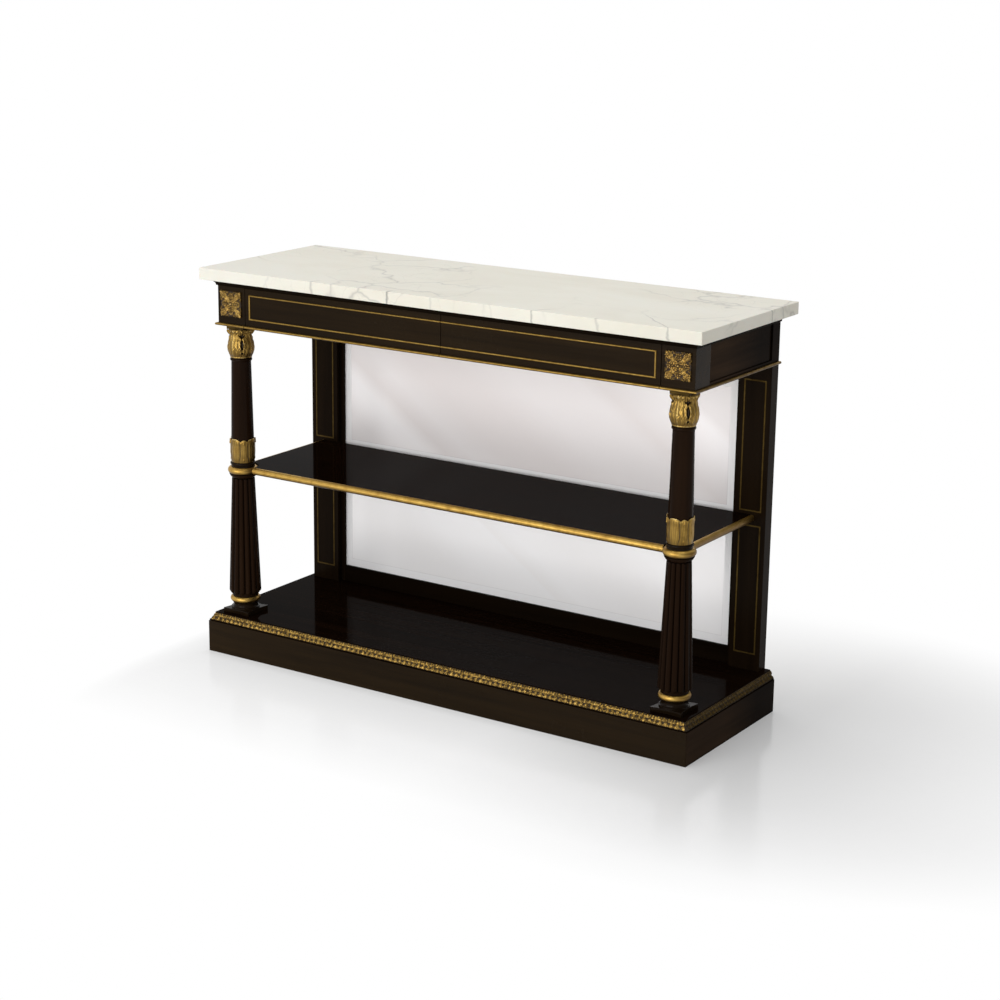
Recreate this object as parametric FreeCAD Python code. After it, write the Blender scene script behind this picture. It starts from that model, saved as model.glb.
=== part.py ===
"""Pier table: marble slab, two-drawer frieze, two turned columns, mirrored back, shelf and plinth.

Millimetres. +X is the width, -Y is the front, +Z is up. The origin is on the floor, under the
centre of the marble slab, which is the widest and deepest piece. Each function makes one piece,
and main() writes one STEP file for each node.
"""

import FreeCAD
import Part

import math
import os
from FreeCAD import Vector

# ---------------------------------------------------------------- overall sizes
HEIGHT = 863.6
TOP_WIDTH = 1219.2
TOP_DEPTH = 406.4
TOP_THICKNESS = 25.4
TOP_EDGE_EASE = 1.5

OVERHANG_FRONT = 30.2
OVERHANG_SIDE = 26.9
OVERHANG_BACK = 24.2
FRONT_Y = -TOP_DEPTH / 2 + OVERHANG_FRONT
BACK_Y = TOP_DEPTH / 2 - OVERHANG_BACK
HALF_WIDTH = TOP_WIDTH / 2 - OVERHANG_SIDE

EDGE_EASE = 0.8
CLEAR = 0.3

# ---------------------------------------------------------------- plinth and base
PLINTH_HALF_WIDTH = 606.0
PLINTH_FRONT_Y = -201.0
PLINTH_HEIGHT = 70.3
PLINTH_BOARD = 22.0
BASE_TOP_Z = 90.0
BASE_INSET = 10.8
TONGUE_INSET = 1.5
TONGUE_TOP_Z = 74.0
BAND_REACH = 9.0
BAND_TOP_Z = 88.0
BAND_EDGE = 0.8
GLUE_BLOCK = 34.0
GLUE_BLOCK_DROP = 4.0

# ---------------------------------------------------------------- frieze
FRIEZE_BOTTOM_Z = 738.0
SUB_TOP_Z = 825.0
SLAB_BOTTOM_Z = HEIGHT - TOP_THICKNESS
CORNER_BLOCK_WIDTH = 73.4
CORNER_BLOCK_DEPTH = 57.8
REAR_BLOCK_FRONT_Y = 147.4
REAR_BLOCK_WIDTH = 71.2
SIDE_PANEL_RECESS = 3.0
SIDE_PANEL_THICKNESS = 18.0
SIDE_PANEL_FOOT_Z = 749.5
FRIEZE_BACK_THICKNESS = 18.0
PARTITION_THICKNESS = 18.0
PARTITION_FRONT_Y = -151.0

COVE_LIP = 3.0
COVE_PROJECTION = 17.0
COVE_LIP_HEIGHT = 1.0
COVE_TOP_FILLET = 2.4

MOULDING_HEIGHT = 5.5
MOULDING_PROJECTION = 6.0
MOULDING_REBATE = 6.0

ORNAMENT_WIDTH = 57.0
ORNAMENT_HEIGHT = 56.0
ORNAMENT_CENTRE_Z = 787.5
ORNAMENT_PLATE = 2.5
ORNAMENT_RELIEF = 4.5
ORNAMENT_PETALS = 8
ORNAMENT_BOSS = 6.0
ORNAMENT_PETAL_RING = 12.5
ORNAMENT_PETAL = 4.6
ORNAMENT_CORNER_LEAF = 6.5
ORNAMENT_CORNER_INSET = 7.5

# ---------------------------------------------------------------- columns
COLUMN_X = HALF_WIDTH - CORNER_BLOCK_WIDTH / 2
COLUMN_Y = FRONT_Y + CORNER_BLOCK_DEPTH / 2
COLUMN_BLOCK = 71.0
COLUMN_BLOCK_HEIGHT = 9.5
COLUMN_BLOCK_HOLLOW = 4.0
COLUMN_BLOCK_TIP = 2.0
BASE_FILLET_RADIUS = 31.0
BASE_FILLET_TOP_Z = 103.0
BASE_SCOTIA_RADIUS = 27.0
BASE_SCOTIA_LIP = 29.0
BASE_TORUS_Z = 114.5
BASE_TORUS_HEIGHT = 14.0
BASE_TORUS_RADIUS = 33.2
TORUS_ROOT = 27.0

LOWER_SHAFT_FOOT_RADIUS = 28.5
LOWER_SHAFT_RADIUS = 35.0
LOWER_SHAFT_WIDEST_Z = 145.0
LOWER_SHAFT_NECK_RADIUS = 25.0
ECHINUS_Z = 400.0
ECHINUS_MIDDLE_RADIUS = 28.8
ECHINUS_RADIUS = 30.5
LOWER_SHAFT_TOP_Z = 408.4
REEDS = 14
REED_SHARE = 0.195
REED_RELIEF = 0.86
REED_BOTTOM_Z = 141.0
REED_TOP_Z = 395.5

MID_TORUS_TOP_Z = 424.2
MID_TORUS_RADIUS = 33.5
MID_TORUS_WIDEST_Z = 416.5
MID_TORUS_FOOT = 27.0
MID_TORUS_HEAD = 26.5
DRUM_CORE_RADIUS = 22.0
DRUM_NECK_RADIUS = 26.0
DRUM_NECK_TOP_Z = 428.0
DRUM_BEAD_RADIUS = 28.0
DRUM_TOP_Z = 435.0

COLLAR_FOOT_RADIUS = 25.0
COLLAR_SWELL_RADIUS = 26.4
COLLAR_SWELL_Z = 444.0
COLLAR_BELLY_RADIUS = 27.0
COLLAR_BELLY_Z = 454.0
COLLAR_WAIST_RADIUS = 26.8
COLLAR_WAIST_Z = 476.0
COLLAR_TIP_RADIUS = 27.8
COLLAR_TIP_Z = 487.0
COLLAR_ROUND_RADIUS = 27.3
COLLAR_ROUND_Z = 489.3
COLLAR_TOP_RADIUS = 26.4
COLLAR_TOP_Z = 490.0
COLLAR_SEAT_RADIUS = 22.5
COLLAR_SEAT_Z = 478.0
COLLAR_LEAVES = 8
COLLAR_NOTCH_RADIUS = 3.2

UPPER_SHAFT_FOOT_RADIUS = 24.8
UPPER_SHAFT_NECK_RADIUS = 21.5
ASTRAGAL_Z = 659.5
ASTRAGAL_RADIUS = 24.0
CAPITAL_Z = 667.0
CAPITAL_FOOT_RADIUS = 22.3
CAPITAL_SWELL_RADIUS = 26.4
CAPITAL_SWELL_Z = 675.0
CAPITAL_RADIUS = 28.4
CAPITAL_WIDEST_Z = 688.0
CAPITAL_SHOULDER_RADIUS = 27.0
CAPITAL_SHOULDER_Z = 704.0
CAPITAL_NECK_RADIUS = 24.0
CAPITAL_NECK_Z = 716.0
CAPITAL_HOLLOW_RADIUS = 23.7
CAPITAL_HOLLOW_Z = 723.0
CAPITAL_LIP_RADIUS = 25.0
ABACUS_Z = 730.0
ABACUS_SIZE = 45.0
ABACUS_HOLLOW = 3.5
ABACUS_TIP = 2.5

ROD_RADIUS = 4.0
ROD_BORE_RADIUS = 4.6
ROD_BOTTOM_Z = 56.0
ROD_TOP_Z = 800.0
NUT_ACROSS_FLATS = 13.0
NUT_HEIGHT = 6.5
WASHER_RADIUS = 14.0
WASHER_THICKNESS = 2.0

# ---------------------------------------------------------------- shelf
SHELF_TOP_Z = 424.2
SHELF_THICKNESS = 15.8
SHELF_HALF_WIDTH = 550.0
SHELF_FRONT_Y = -146.0
SCOOP_RADIUS = MID_TORUS_RADIUS + CLEAR
DOWEL_RADIUS = 4.0
CORNER_DOWEL_START = 10.0
CORNER_DOWEL_END = 62.0
REAR_DOWEL_X = (-330.0, 0.0, 330.0)
REAR_DOWEL_Z = 413.4
REAR_DOWEL_RADIUS = 3.0
REAR_DOWEL_DEPTH = 20.0
REAR_DOWEL_IN_RAIL = 12.0

# ---------------------------------------------------------------- mirrored back
PILASTER_FRONT_Y = 151.0
LIP_FRONT_Y = 164.0
GLASS_FRONT_Y = 169.0
GLASS_THICKNESS = 3.5
BACKING_THICKNESS = 4.0
SIGHT_HALF_WIDTH = 501.5
SIGHT_LOWER = (127.8, 398.5)
SIGHT_UPPER = (418.4, 698.5)
GLASS_HALF_WIDTH = 505.0
GLASS_LOWER = (124.3, 402.0)
GLASS_UPPER = (409.5, 700.5)
GLASS_PLAY = 0.2
BEVEL_WIDTH = 21.5
BEVEL_DEPTH = 1.4

STRINGING_INSET = 12.0
STRINGING_WIDTH = 3.0
STRINGING_DEPTH = 1.0
STRINGING_PROUD = 0.4
STRINGING_PANELS = ((126.5, 400.5), (432.0, 704.0))

# ---------------------------------------------------------------- drawers
DRAWER_GAP = 1.5
DRAWER_FRONT_THICKNESS = 20.0
DRAWER_FRONT_TOP_Z = 824.0
DRAWER_SIDE = 12.0
DRAWER_SIDE_BOTTOM_Z = 754.5
DRAWER_SIDE_TOP_Z = 819.0
DRAWER_BACK_Y = 150.0
DRAWER_BACK_TOP_Z = 815.0
DRAWER_INNER_GAP = 11.0
DRAWER_OUTER_X = 506.0
DRAWER_BOTTOM_Z = 760.0
DRAWER_BOTTOM_THICKNESS = 6.0
DRAWER_GROOVE = 6.0
DRAWER_FRONT_GROOVE = 5.0

RUNNER_TOP_Z = 754.0
RUNNER_WIDTH = 22.0
GUIDE_INNER_X = 507.5
GUIDE_OUTER_X = 522.0
GUIDE_TOP_Z = 790.0
STOP_WIDTH = 60.0
STOP_BOTTOM_Z = 770.0
STOP_TOP_Z = 800.0

BEAD_WIDTH = 4.0
BEAD_RISE = 2.0
BEAD_OUTER_X = 498.0
BEAD_TOP_Z = 811.7
BEAD_BOTTOM_Z = 756.8

# ---------------------------------------------------------------- screws
SCREW_SHANK = 2.0
SCREW_HEAD = 4.0
SCREW_HEAD_DEPTH = 2.5
SCREW_LENGTH = 38.0
BLOCK_SCREW_INSET = 8.0

ARC_STEPS = 8
REED_JOIN_TOLERANCE = 0.001
CUT_CHECK = 0.999
LEFT, RIGHT = -1, 1
SIDES = ((LEFT, "left"), (RIGHT, "right"))


# ---------------------------------------------------------------- helpers
def save(name, pieces):
    """Write one node: a solid, or a list of separate solids."""
    shape = pieces if hasattr(pieces, "exportStep") else Part.makeCompound(pieces)
    for solid in shape.Solids:
        if not solid.isValid() or solid.Volume <= 0:
            raise ValueError("bad solid in " + name)
    shape.exportStep("parts/" + name + ".step")


def box(x0, x1, y0, y1, z0, z1):
    """A box between two corners, whichever way round they are given."""
    low = Vector(min(x0, x1), min(y0, y1), min(z0, z1))
    size = (abs(x1 - x0), abs(y1 - y0), abs(z1 - z0))
    return Part.makeBox(size[0], size[1], size[2], low)


def board(x0, x1, y0, y1, z0, z1, ease=EDGE_EASE):
    """A board whose arrises are all rounded a little."""
    plain = box(x0, x1, y0, y1, z0, z1)
    return plain.makeFillet(ease, plain.Edges)


def cylinder(x, y, z0, z1, radius):
    return Part.makeCylinder(radius, z1 - z0, Vector(x, y, z0))


def prism(points, z0, z1):
    """A straight-sided block over a plan outline of (x, y) points."""
    corners = [Vector(x, y, z0) for x, y in points]
    face = Part.Face(Part.makePolygon(corners + corners[:1]))
    return face.extrude(Vector(0, 0, z1 - z0))


def join(pieces, tolerance=0.0):
    """Fuse pieces into one clean solid, and stop if one of them was lost."""
    whole = pieces[0].fuse(pieces[1:], tolerance) if len(pieces) > 1 else pieces[0]
    if whole.Volume < max(piece.Volume for piece in pieces):
        raise ValueError("a joined piece was lost")
    return whole.removeSplitter()


def less(piece, cutters):
    """A piece with its rebates, bores or housings taken out, never more than the cutters."""
    rest = piece.cut(Part.makeCompound(cutters)).removeSplitter()
    if rest.Volume < (piece.Volume - sum(cutter.Volume for cutter in cutters)) * CUT_CHECK:
        raise ValueError("a cut took too much")
    return rest


def mirrored(shape):
    """The left-hand copy of a right-hand piece."""
    return shape.mirror(Vector(0, 0, 0), Vector(1, 0, 0))


def handed(side, shape):
    return mirrored(shape) if side == LEFT else shape


def turned(x, y, outline, bore=0.0):
    """A turned piece: outline steps up the outside as ("to", r, z) or ("arc", rm, zm, r, z)."""
    at = Vector(outline[0][1], 0, outline[0][2])
    bottom = at.z
    edges = []
    if at.x > bore:
        edges.append(Part.makeLine(Vector(bore, 0, bottom), at))
    for step in outline[1:]:
        end = Vector(step[-2], 0, step[-1])
        if step[0] == "arc":
            edges.append(Part.Arc(at, Vector(step[1], 0, step[2]), end).toShape())
        else:
            edges.append(Part.makeLine(at, end))
        at = end
    if at.x > bore:
        edges.append(Part.makeLine(at, Vector(bore, 0, at.z)))
    edges.append(Part.makeLine(Vector(bore, 0, at.z), Vector(bore, 0, bottom)))
    face = Part.Face(Part.Wire(edges))
    solid = face.revolve(Vector(0, 0, 0), Vector(0, 0, 1), 360)
    solid.translate(Vector(x, y, 0))
    return solid


def hollow_square(x, y, size, hollow, tip, z0, z1):
    """A square block with incurved sides and clipped corners."""
    half = size / 2
    edges = []
    for k in range(4):
        turn = FreeCAD.Rotation(Vector(0, 0, 1), 90 * k)
        start = turn.multVec(Vector(-half + tip, -half, 0))
        middle = turn.multVec(Vector(0, -half + hollow, 0))
        end = turn.multVec(Vector(half - tip, -half, 0))
        corner = turn.multVec(Vector(half, -half + tip, 0))
        edges.append(Part.Arc(start, middle, end).toShape())
        edges.append(Part.makeLine(end, corner))
    block = Part.Face(Part.Wire(edges)).extrude(Vector(0, 0, z1 - z0))
    block.translate(Vector(x, y, z0))
    return block


def arc_points(centre, radii, start, end, steps=ARC_STEPS):
    """Points round part of an ellipse, angles in degrees."""
    points = []
    for k in range(steps + 1):
        angle = math.radians(start + (end - start) * k / steps)
        points.append((centre[0] + radii[0] * math.cos(angle), centre[1] + radii[1] * math.sin(angle)))
    return points


def mitred_lengths(path, profile, place, closed=False):
    """Lengths of moulding that meet in mitres along a flat path.

    profile holds (u, v) points: u is outwards from the path, to the right of its direction, and v
    is up from its plane. place(a, b, v) gives the 3-D point of path coordinates (a, b) at v.
    """
    count = len(path)
    spans = count if closed else count - 1
    normals = []
    for k in range(spans):
        a, b = path[k], path[(k + 1) % count]
        length = math.hypot(b[0] - a[0], b[1] - a[1])
        normals.append(((b[1] - a[1]) / length, -(b[0] - a[0]) / length))

    def mitre(k):
        before = normals[(k - 1) % spans] if closed or k > 0 else normals[0]
        after = normals[k % spans] if closed or k < spans else normals[-1]
        scale = 1 + before[0] * after[0] + before[1] * after[1]
        return ((before[0] + after[0]) / scale, (before[1] + after[1]) / scale)

    def ring(k):
        m = mitre(k)
        a, b = path[k % count]
        return [place(a + u * m[0], b + u * m[1], v) for u, v in profile]

    lengths = []
    for k in range(spans):
        near, far = ring(k), ring(k + 1)
        faces = [Part.Face(Part.makePolygon(end + end[:1])) for end in (near, far)]
        for i in range(len(profile)):
            j = (i + 1) % len(profile)
            faces.append(Part.Face(Part.makePolygon([near[i], near[j], far[j], far[i], near[i]])))
        solid = Part.Solid(Part.Shell(faces))
        if solid.Volume < 0:
            solid.reverse()
        lengths.append(solid)
    return lengths


def plan(z):
    """Path coordinates are x and y, and the profile rises from z."""
    return lambda a, b, v: Vector(a, b, z + v)


def elevation(y):
    """Path coordinates are x and z on an upright face at y, and the profile stands forward of it."""
    return lambda a, b, v: Vector(a, y - v, b)


def round_three_sides(half_width, front_y, back_y):
    """The path from back left, round the front, to back right."""
    return [(-half_width, back_y), (-half_width, front_y), (half_width, front_y), (half_width, back_y)]


def screw(x, y, z, length=SCREW_LENGTH, up=False):
    """A countersunk wood screw: head at z, driven downwards, or upwards from below."""
    way = Vector(0, 0, 1 if up else -1)
    head = Part.makeCone(SCREW_HEAD, SCREW_SHANK, SCREW_HEAD_DEPTH, Vector(x, y, z), way)
    shank = Part.makeCylinder(SCREW_SHANK, length, Vector(x, y, z), way)
    return join([head, shank])


# ---------------------------------------------------------------- plinth and base
def plinth_front():
    """The front board, mitred to the side boards at both ends."""
    inner = PLINTH_HALF_WIDTH - PLINTH_BOARD
    y0, y1 = PLINTH_FRONT_Y, PLINTH_FRONT_Y + PLINTH_BOARD
    outline = [(-PLINTH_HALF_WIDTH, y0), (PLINTH_HALF_WIDTH, y0), (inner, y1), (-inner, y1)]
    return prism(outline, 0, PLINTH_HEIGHT)


def plinth_side(side):
    inner = PLINTH_HALF_WIDTH - PLINTH_BOARD
    outline = [
        (PLINTH_HALF_WIDTH, PLINTH_FRONT_Y),
        (PLINTH_HALF_WIDTH, BACK_Y),
        (inner, BACK_Y),
        (inner, PLINTH_FRONT_Y + PLINTH_BOARD),
    ]
    return handed(side, prism(outline, 0, PLINTH_HEIGHT))


def plinth_back():
    inner = PLINTH_HALF_WIDTH - PLINTH_BOARD
    return box(-inner, inner, BACK_Y - PLINTH_BOARD, BACK_Y, 0, PLINTH_HEIGHT)


def glue_blocks():
    """Triangular blocks in the four inside corners of the plinth."""
    inner = PLINTH_HALF_WIDTH - PLINTH_BOARD
    blocks = []
    for sx, _ in SIDES:
        for y, sy in ((PLINTH_FRONT_Y + PLINTH_BOARD, 1), (BACK_Y - PLINTH_BOARD, -1)):
            corner = (sx * inner, y)
            along_x = (sx * (inner - GLUE_BLOCK), y)
            along_y = (sx * inner, y + sy * GLUE_BLOCK)
            blocks.append(prism([corner, along_x, along_y], GLUE_BLOCK_DROP, PLINTH_HEIGHT))
    return blocks


def base_panel(screws):
    """The panel that closes the plinth and carries the posts, with a tongue left under the band."""

    def layer(inset, z0, z1):
        half = PLINTH_HALF_WIDTH - inset
        return box(-half, half, PLINTH_FRONT_Y + inset, BACK_Y, z0, z1)

    tongue = layer(TONGUE_INSET, PLINTH_HEIGHT, TONGUE_TOP_Z)
    panel = join([tongue, layer(BASE_INSET, TONGUE_TOP_Z, BASE_TOP_Z)])
    bores = [cylinder(s * COLUMN_X, COLUMN_Y, PLINTH_HEIGHT, BASE_TOP_Z, ROD_BORE_RADIUS) for s, _ in SIDES]
    return less(panel, bores + screws)


def base_band():
    """The sloping band moulding that stands on the tongue, round the front and sides."""
    rise = BAND_TOP_Z - TONGUE_TOP_Z
    profile = [(0, 0), (BAND_REACH, 0), (BAND_REACH, BAND_EDGE), (BAND_EDGE, rise), (0, rise)]
    path = round_three_sides(PLINTH_HALF_WIDTH - BASE_INSET, PLINTH_FRONT_Y + BASE_INSET, BACK_Y)
    return mitred_lengths(path, profile, plan(TONGUE_TOP_Z))


# ---------------------------------------------------------------- columns
def at_columns(make):
    """The same piece on each column axis."""
    return [make(s * COLUMN_X, COLUMN_Y) for s, _ in SIDES]


def column_base(side):
    """Square block with incurved sides, and the scotia turned on top of it."""
    x, y = side * COLUMN_X, COLUMN_Y
    block_top = BASE_TOP_Z + COLUMN_BLOCK_HEIGHT
    block = hollow_square(
        x, y, COLUMN_BLOCK, COLUMN_BLOCK_HOLLOW, COLUMN_BLOCK_TIP, BASE_TOP_Z, block_top
    )
    middle_z = (BASE_FILLET_TOP_Z + BASE_TORUS_Z) / 2
    scotia = turned(x, y, [
        ("to", BASE_FILLET_RADIUS, block_top),
        ("to", BASE_FILLET_RADIUS, BASE_FILLET_TOP_Z),
        ("to", BASE_SCOTIA_LIP, BASE_FILLET_TOP_Z),
        ("arc", BASE_SCOTIA_RADIUS, middle_z, BASE_SCOTIA_LIP, BASE_TORUS_Z),
    ])
    return less(join([block, scotia]), [cylinder(x, y, BASE_TOP_Z, BASE_TORUS_Z, ROD_BORE_RADIUS)])


def base_torus(x, y):
    """Gilt ring under the reeded shaft."""
    top = BASE_TORUS_Z + BASE_TORUS_HEIGHT
    return turned(x, y, [
        ("to", TORUS_ROOT, BASE_TORUS_Z),
        ("arc", BASE_TORUS_RADIUS, BASE_TORUS_Z + BASE_TORUS_HEIGHT / 2, TORUS_ROOT, top),
    ], ROD_BORE_RADIUS)


def reeds():
    """Round-nosed convex reeds that taper with the lower shaft, one of them facing the front."""
    rise = ECHINUS_Z - LOWER_SHAFT_WIDEST_Z
    slope = (LOWER_SHAFT_NECK_RADIUS - LOWER_SHAFT_RADIUS) / rise

    def reed_size(z):
        outside = LOWER_SHAFT_RADIUS + slope * (z - LOWER_SHAFT_WIDEST_Z)
        radius = outside * REED_SHARE
        return outside - radius, radius

    (foot_x, foot), (head_x, head) = reed_size(REED_BOTTOM_Z), reed_size(REED_TOP_Z)
    length = math.hypot(head_x - foot_x, REED_TOP_Z - REED_BOTTOM_Z)
    nose = math.sqrt(0.5)
    reed = turned(0, 0, [
        ("to", 0, -foot),
        ("arc", foot * nose, -foot * nose, foot, 0),
        ("to", head, length),
        ("arc", head * nose, length + head * nose, 0, length + head),
    ])
    lean = math.degrees(math.atan2(head_x - foot_x, REED_TOP_Z - REED_BOTTOM_Z))
    reed.rotate(Vector(0, 0, 0), Vector(0, 1, 0), lean)
    reed.translate(Vector(foot_x, 0, REED_BOTTOM_Z))
    pieces = []
    for k in range(REEDS):
        piece = reed.copy()
        piece.rotate(Vector(0, 0, 0), Vector(0, 0, 1), -90 + 360 * k / REEDS)
        pieces.append(piece)
    return pieces


def lower_shaft():
    """Reeded shaft on the origin, with an echinus turned at its head."""
    foot_z = BASE_TORUS_Z + BASE_TORUS_HEIGHT
    echinus_middle_z = (ECHINUS_Z + LOWER_SHAFT_TOP_Z) / 2
    core = turned(0, 0, [
        ("to", LOWER_SHAFT_FOOT_RADIUS, foot_z),
        ("to", LOWER_SHAFT_RADIUS * REED_RELIEF, LOWER_SHAFT_WIDEST_Z),
        ("to", LOWER_SHAFT_NECK_RADIUS * REED_RELIEF, ECHINUS_Z),
        ("to", LOWER_SHAFT_NECK_RADIUS, ECHINUS_Z),
        ("arc", ECHINUS_MIDDLE_RADIUS, echinus_middle_z, ECHINUS_RADIUS, LOWER_SHAFT_TOP_Z),
    ])
    bore = cylinder(0, 0, foot_z, LOWER_SHAFT_TOP_Z, ROD_BORE_RADIUS)
    return less(join([core] + reeds(), REED_JOIN_TOLERANCE), [bore])


def mid_torus(x, y):
    """Gilt ring level with the shelf, fitted round the drum."""
    return turned(x, y, [
        ("to", MID_TORUS_FOOT, LOWER_SHAFT_TOP_Z),
        ("arc", MID_TORUS_RADIUS, MID_TORUS_WIDEST_Z, MID_TORUS_HEAD, MID_TORUS_TOP_Z),
    ], DRUM_CORE_RADIUS + CLEAR / 2)


def mid_drum(x, y):
    """Core of the column at the shelf, with a short neck and a bead above the torus."""
    return turned(x, y, [
        ("to", DRUM_CORE_RADIUS, LOWER_SHAFT_TOP_Z),
        ("to", DRUM_CORE_RADIUS, MID_TORUS_TOP_Z),
        ("to", DRUM_NECK_RADIUS, MID_TORUS_TOP_Z),
        ("to", DRUM_NECK_RADIUS, DRUM_NECK_TOP_Z),
        ("arc", DRUM_BEAD_RADIUS, (DRUM_NECK_TOP_Z + DRUM_TOP_Z) / 2, COLLAR_FOOT_RADIUS, DRUM_TOP_Z),
    ], ROD_BORE_RADIUS)


def lotus_collar(side):
    """Gilt cup of eight leaves round the foot of the upper shaft."""
    x, y = side * COLUMN_X, COLUMN_Y
    cup = turned(x, y, [
        ("to", COLLAR_FOOT_RADIUS, DRUM_TOP_Z),
        ("arc", COLLAR_SWELL_RADIUS, COLLAR_SWELL_Z, COLLAR_BELLY_RADIUS, COLLAR_BELLY_Z),
        ("arc", COLLAR_WAIST_RADIUS, COLLAR_WAIST_Z, COLLAR_TIP_RADIUS, COLLAR_TIP_Z),
        ("arc", COLLAR_ROUND_RADIUS, COLLAR_ROUND_Z, COLLAR_TOP_RADIUS, COLLAR_TOP_Z),
    ], COLLAR_SEAT_RADIUS + CLEAR / 2)
    inner = UPPER_SHAFT_FOOT_RADIUS + CLEAR / 2
    cutters = [cylinder(x, y, COLLAR_SEAT_Z - CLEAR, COLLAR_TOP_Z, inner)]
    for k in range(COLLAR_LEAVES):
        angle = math.radians(-90 + 360 * (k + 0.5) / COLLAR_LEAVES)
        out = Vector(math.cos(angle), math.sin(angle), 0)
        start = Vector(x, y, COLLAR_TOP_Z) + out * COLLAR_SEAT_RADIUS
        cutters.append(Part.makeCylinder(COLLAR_NOTCH_RADIUS, COLLAR_BELLY_RADIUS, start, out))
    return less(cup, cutters)


def upper_shaft(side):
    """Plain tapered shaft: a thinner seat inside the collar, and the astragal turned at its head."""
    x, y = side * COLUMN_X, COLUMN_Y
    middle_z = (ASTRAGAL_Z + CAPITAL_Z) / 2
    return turned(x, y, [
        ("to", COLLAR_SEAT_RADIUS, DRUM_TOP_Z),
        ("to", COLLAR_SEAT_RADIUS, COLLAR_SEAT_Z),
        ("to", UPPER_SHAFT_FOOT_RADIUS, COLLAR_SEAT_Z),
        ("to", UPPER_SHAFT_FOOT_RADIUS, COLLAR_TOP_Z),
        ("to", UPPER_SHAFT_NECK_RADIUS, ASTRAGAL_Z),
        ("arc", ASTRAGAL_RADIUS, middle_z, UPPER_SHAFT_NECK_RADIUS, CAPITAL_Z),
    ], ROD_BORE_RADIUS)


def capital(side):
    """Ovoid leaf capital."""
    x, y = side * COLUMN_X, COLUMN_Y
    return turned(x, y, [
        ("to", CAPITAL_FOOT_RADIUS, CAPITAL_Z),
        ("arc", CAPITAL_SWELL_RADIUS, CAPITAL_SWELL_Z, CAPITAL_RADIUS, CAPITAL_WIDEST_Z),
        ("arc", CAPITAL_SHOULDER_RADIUS, CAPITAL_SHOULDER_Z, CAPITAL_NECK_RADIUS, CAPITAL_NECK_Z),
        ("arc", CAPITAL_HOLLOW_RADIUS, CAPITAL_HOLLOW_Z, CAPITAL_LIP_RADIUS, ABACUS_Z),
    ], ROD_BORE_RADIUS)


def abacus(x, y):
    plate = hollow_square(x, y, ABACUS_SIZE, ABACUS_HOLLOW, ABACUS_TIP, ABACUS_Z, FRIEZE_BOTTOM_Z)
    return less(plate, [cylinder(x, y, ABACUS_Z, FRIEZE_BOTTOM_Z, ROD_BORE_RADIUS)])


def tie_rod(x, y):
    """Threaded rod through the whole column, with a washer and nut under the base panel."""
    rod = cylinder(x, y, ROD_BOTTOM_Z, ROD_TOP_Z, ROD_RADIUS)
    washer_z = PLINTH_HEIGHT - WASHER_THICKNESS
    washer = cylinder(x, y, washer_z, PLINTH_HEIGHT, WASHER_RADIUS)
    corner_radius = NUT_ACROSS_FLATS / math.sqrt(3)
    corners = []
    for k in range(6):
        angle = math.radians(60 * k)
        corners.append((x + corner_radius * math.cos(angle), y + corner_radius * math.sin(angle)))
    nut = prism(corners, washer_z - NUT_HEIGHT, washer_z)
    return join([rod, washer, nut])


# ---------------------------------------------------------------- shelf
def scoops():
    return at_columns(lambda x, y: cylinder(x, y, LOWER_SHAFT_TOP_Z, DRUM_TOP_Z, SCOOP_RADIUS))


def shelf_dowels():
    """One dowel into each column, and a row into the middle rail of the back."""
    dowels = []
    for side, _ in SIDES:
        inwards = Vector(-side, 1, 0).normalize()
        axis = Vector(side * COLUMN_X, COLUMN_Y, SHELF_TOP_Z - SHELF_THICKNESS / 2)
        length = CORNER_DOWEL_END - CORNER_DOWEL_START
        start = axis + inwards * CORNER_DOWEL_START
        dowels.append(Part.makeCylinder(DOWEL_RADIUS, length, start, inwards))
    for x in REAR_DOWEL_X:
        start = Vector(x, PILASTER_FRONT_Y - REAR_DOWEL_DEPTH, REAR_DOWEL_Z)
        length = REAR_DOWEL_DEPTH + REAR_DOWEL_IN_RAIL
        dowels.append(Part.makeCylinder(REAR_DOWEL_RADIUS, length, start, Vector(0, 1, 0)))
    return dowels


def shelf_board(dowels):
    """The shelf, scooped round the columns and butted against the back."""
    half, bottom = SHELF_HALF_WIDTH, SHELF_TOP_Z - SHELF_THICKNESS
    slab = box(-half, half, SHELF_FRONT_Y, PILASTER_FRONT_Y, bottom, SHELF_TOP_Z)
    return less(slab, scoops() + dowels)


def shelf_nosing():
    """Gilt half-round on the front and sides, stopped against the columns."""
    radius = SHELF_THICKNESS / 2
    profile = arc_points((0, radius), (radius, radius), -90, 90)
    path = round_three_sides(SHELF_HALF_WIDTH, SHELF_FRONT_Y, PILASTER_FRONT_Y)
    lengths = mitred_lengths(path, profile, plan(SHELF_TOP_Z - SHELF_THICKNESS))
    return [less(length, scoops()) for length in lengths]


# ---------------------------------------------------------------- mirrored back
def string_frames(side, depth, proud):
    """The upper and lower string rectangles of one pilaster, sunk by depth."""
    frames = []
    x0 = HALF_WIDTH - REAR_BLOCK_WIDTH + STRINGING_INSET
    x1 = HALF_WIDTH - STRINGING_INSET
    y0, y1 = PILASTER_FRONT_Y - proud, PILASTER_FRONT_Y + depth
    half = STRINGING_WIDTH / 2
    for z0, z1 in STRINGING_PANELS:
        outer = box(x0 - half, x1 + half, y0, y1, z0 - half, z1 + half)
        inner = box(x0 + half, x1 - half, y0, y1, z0 + half, z1 - half)
        frames.append(handed(side, outer.cut(inner)))
    return frames


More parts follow.
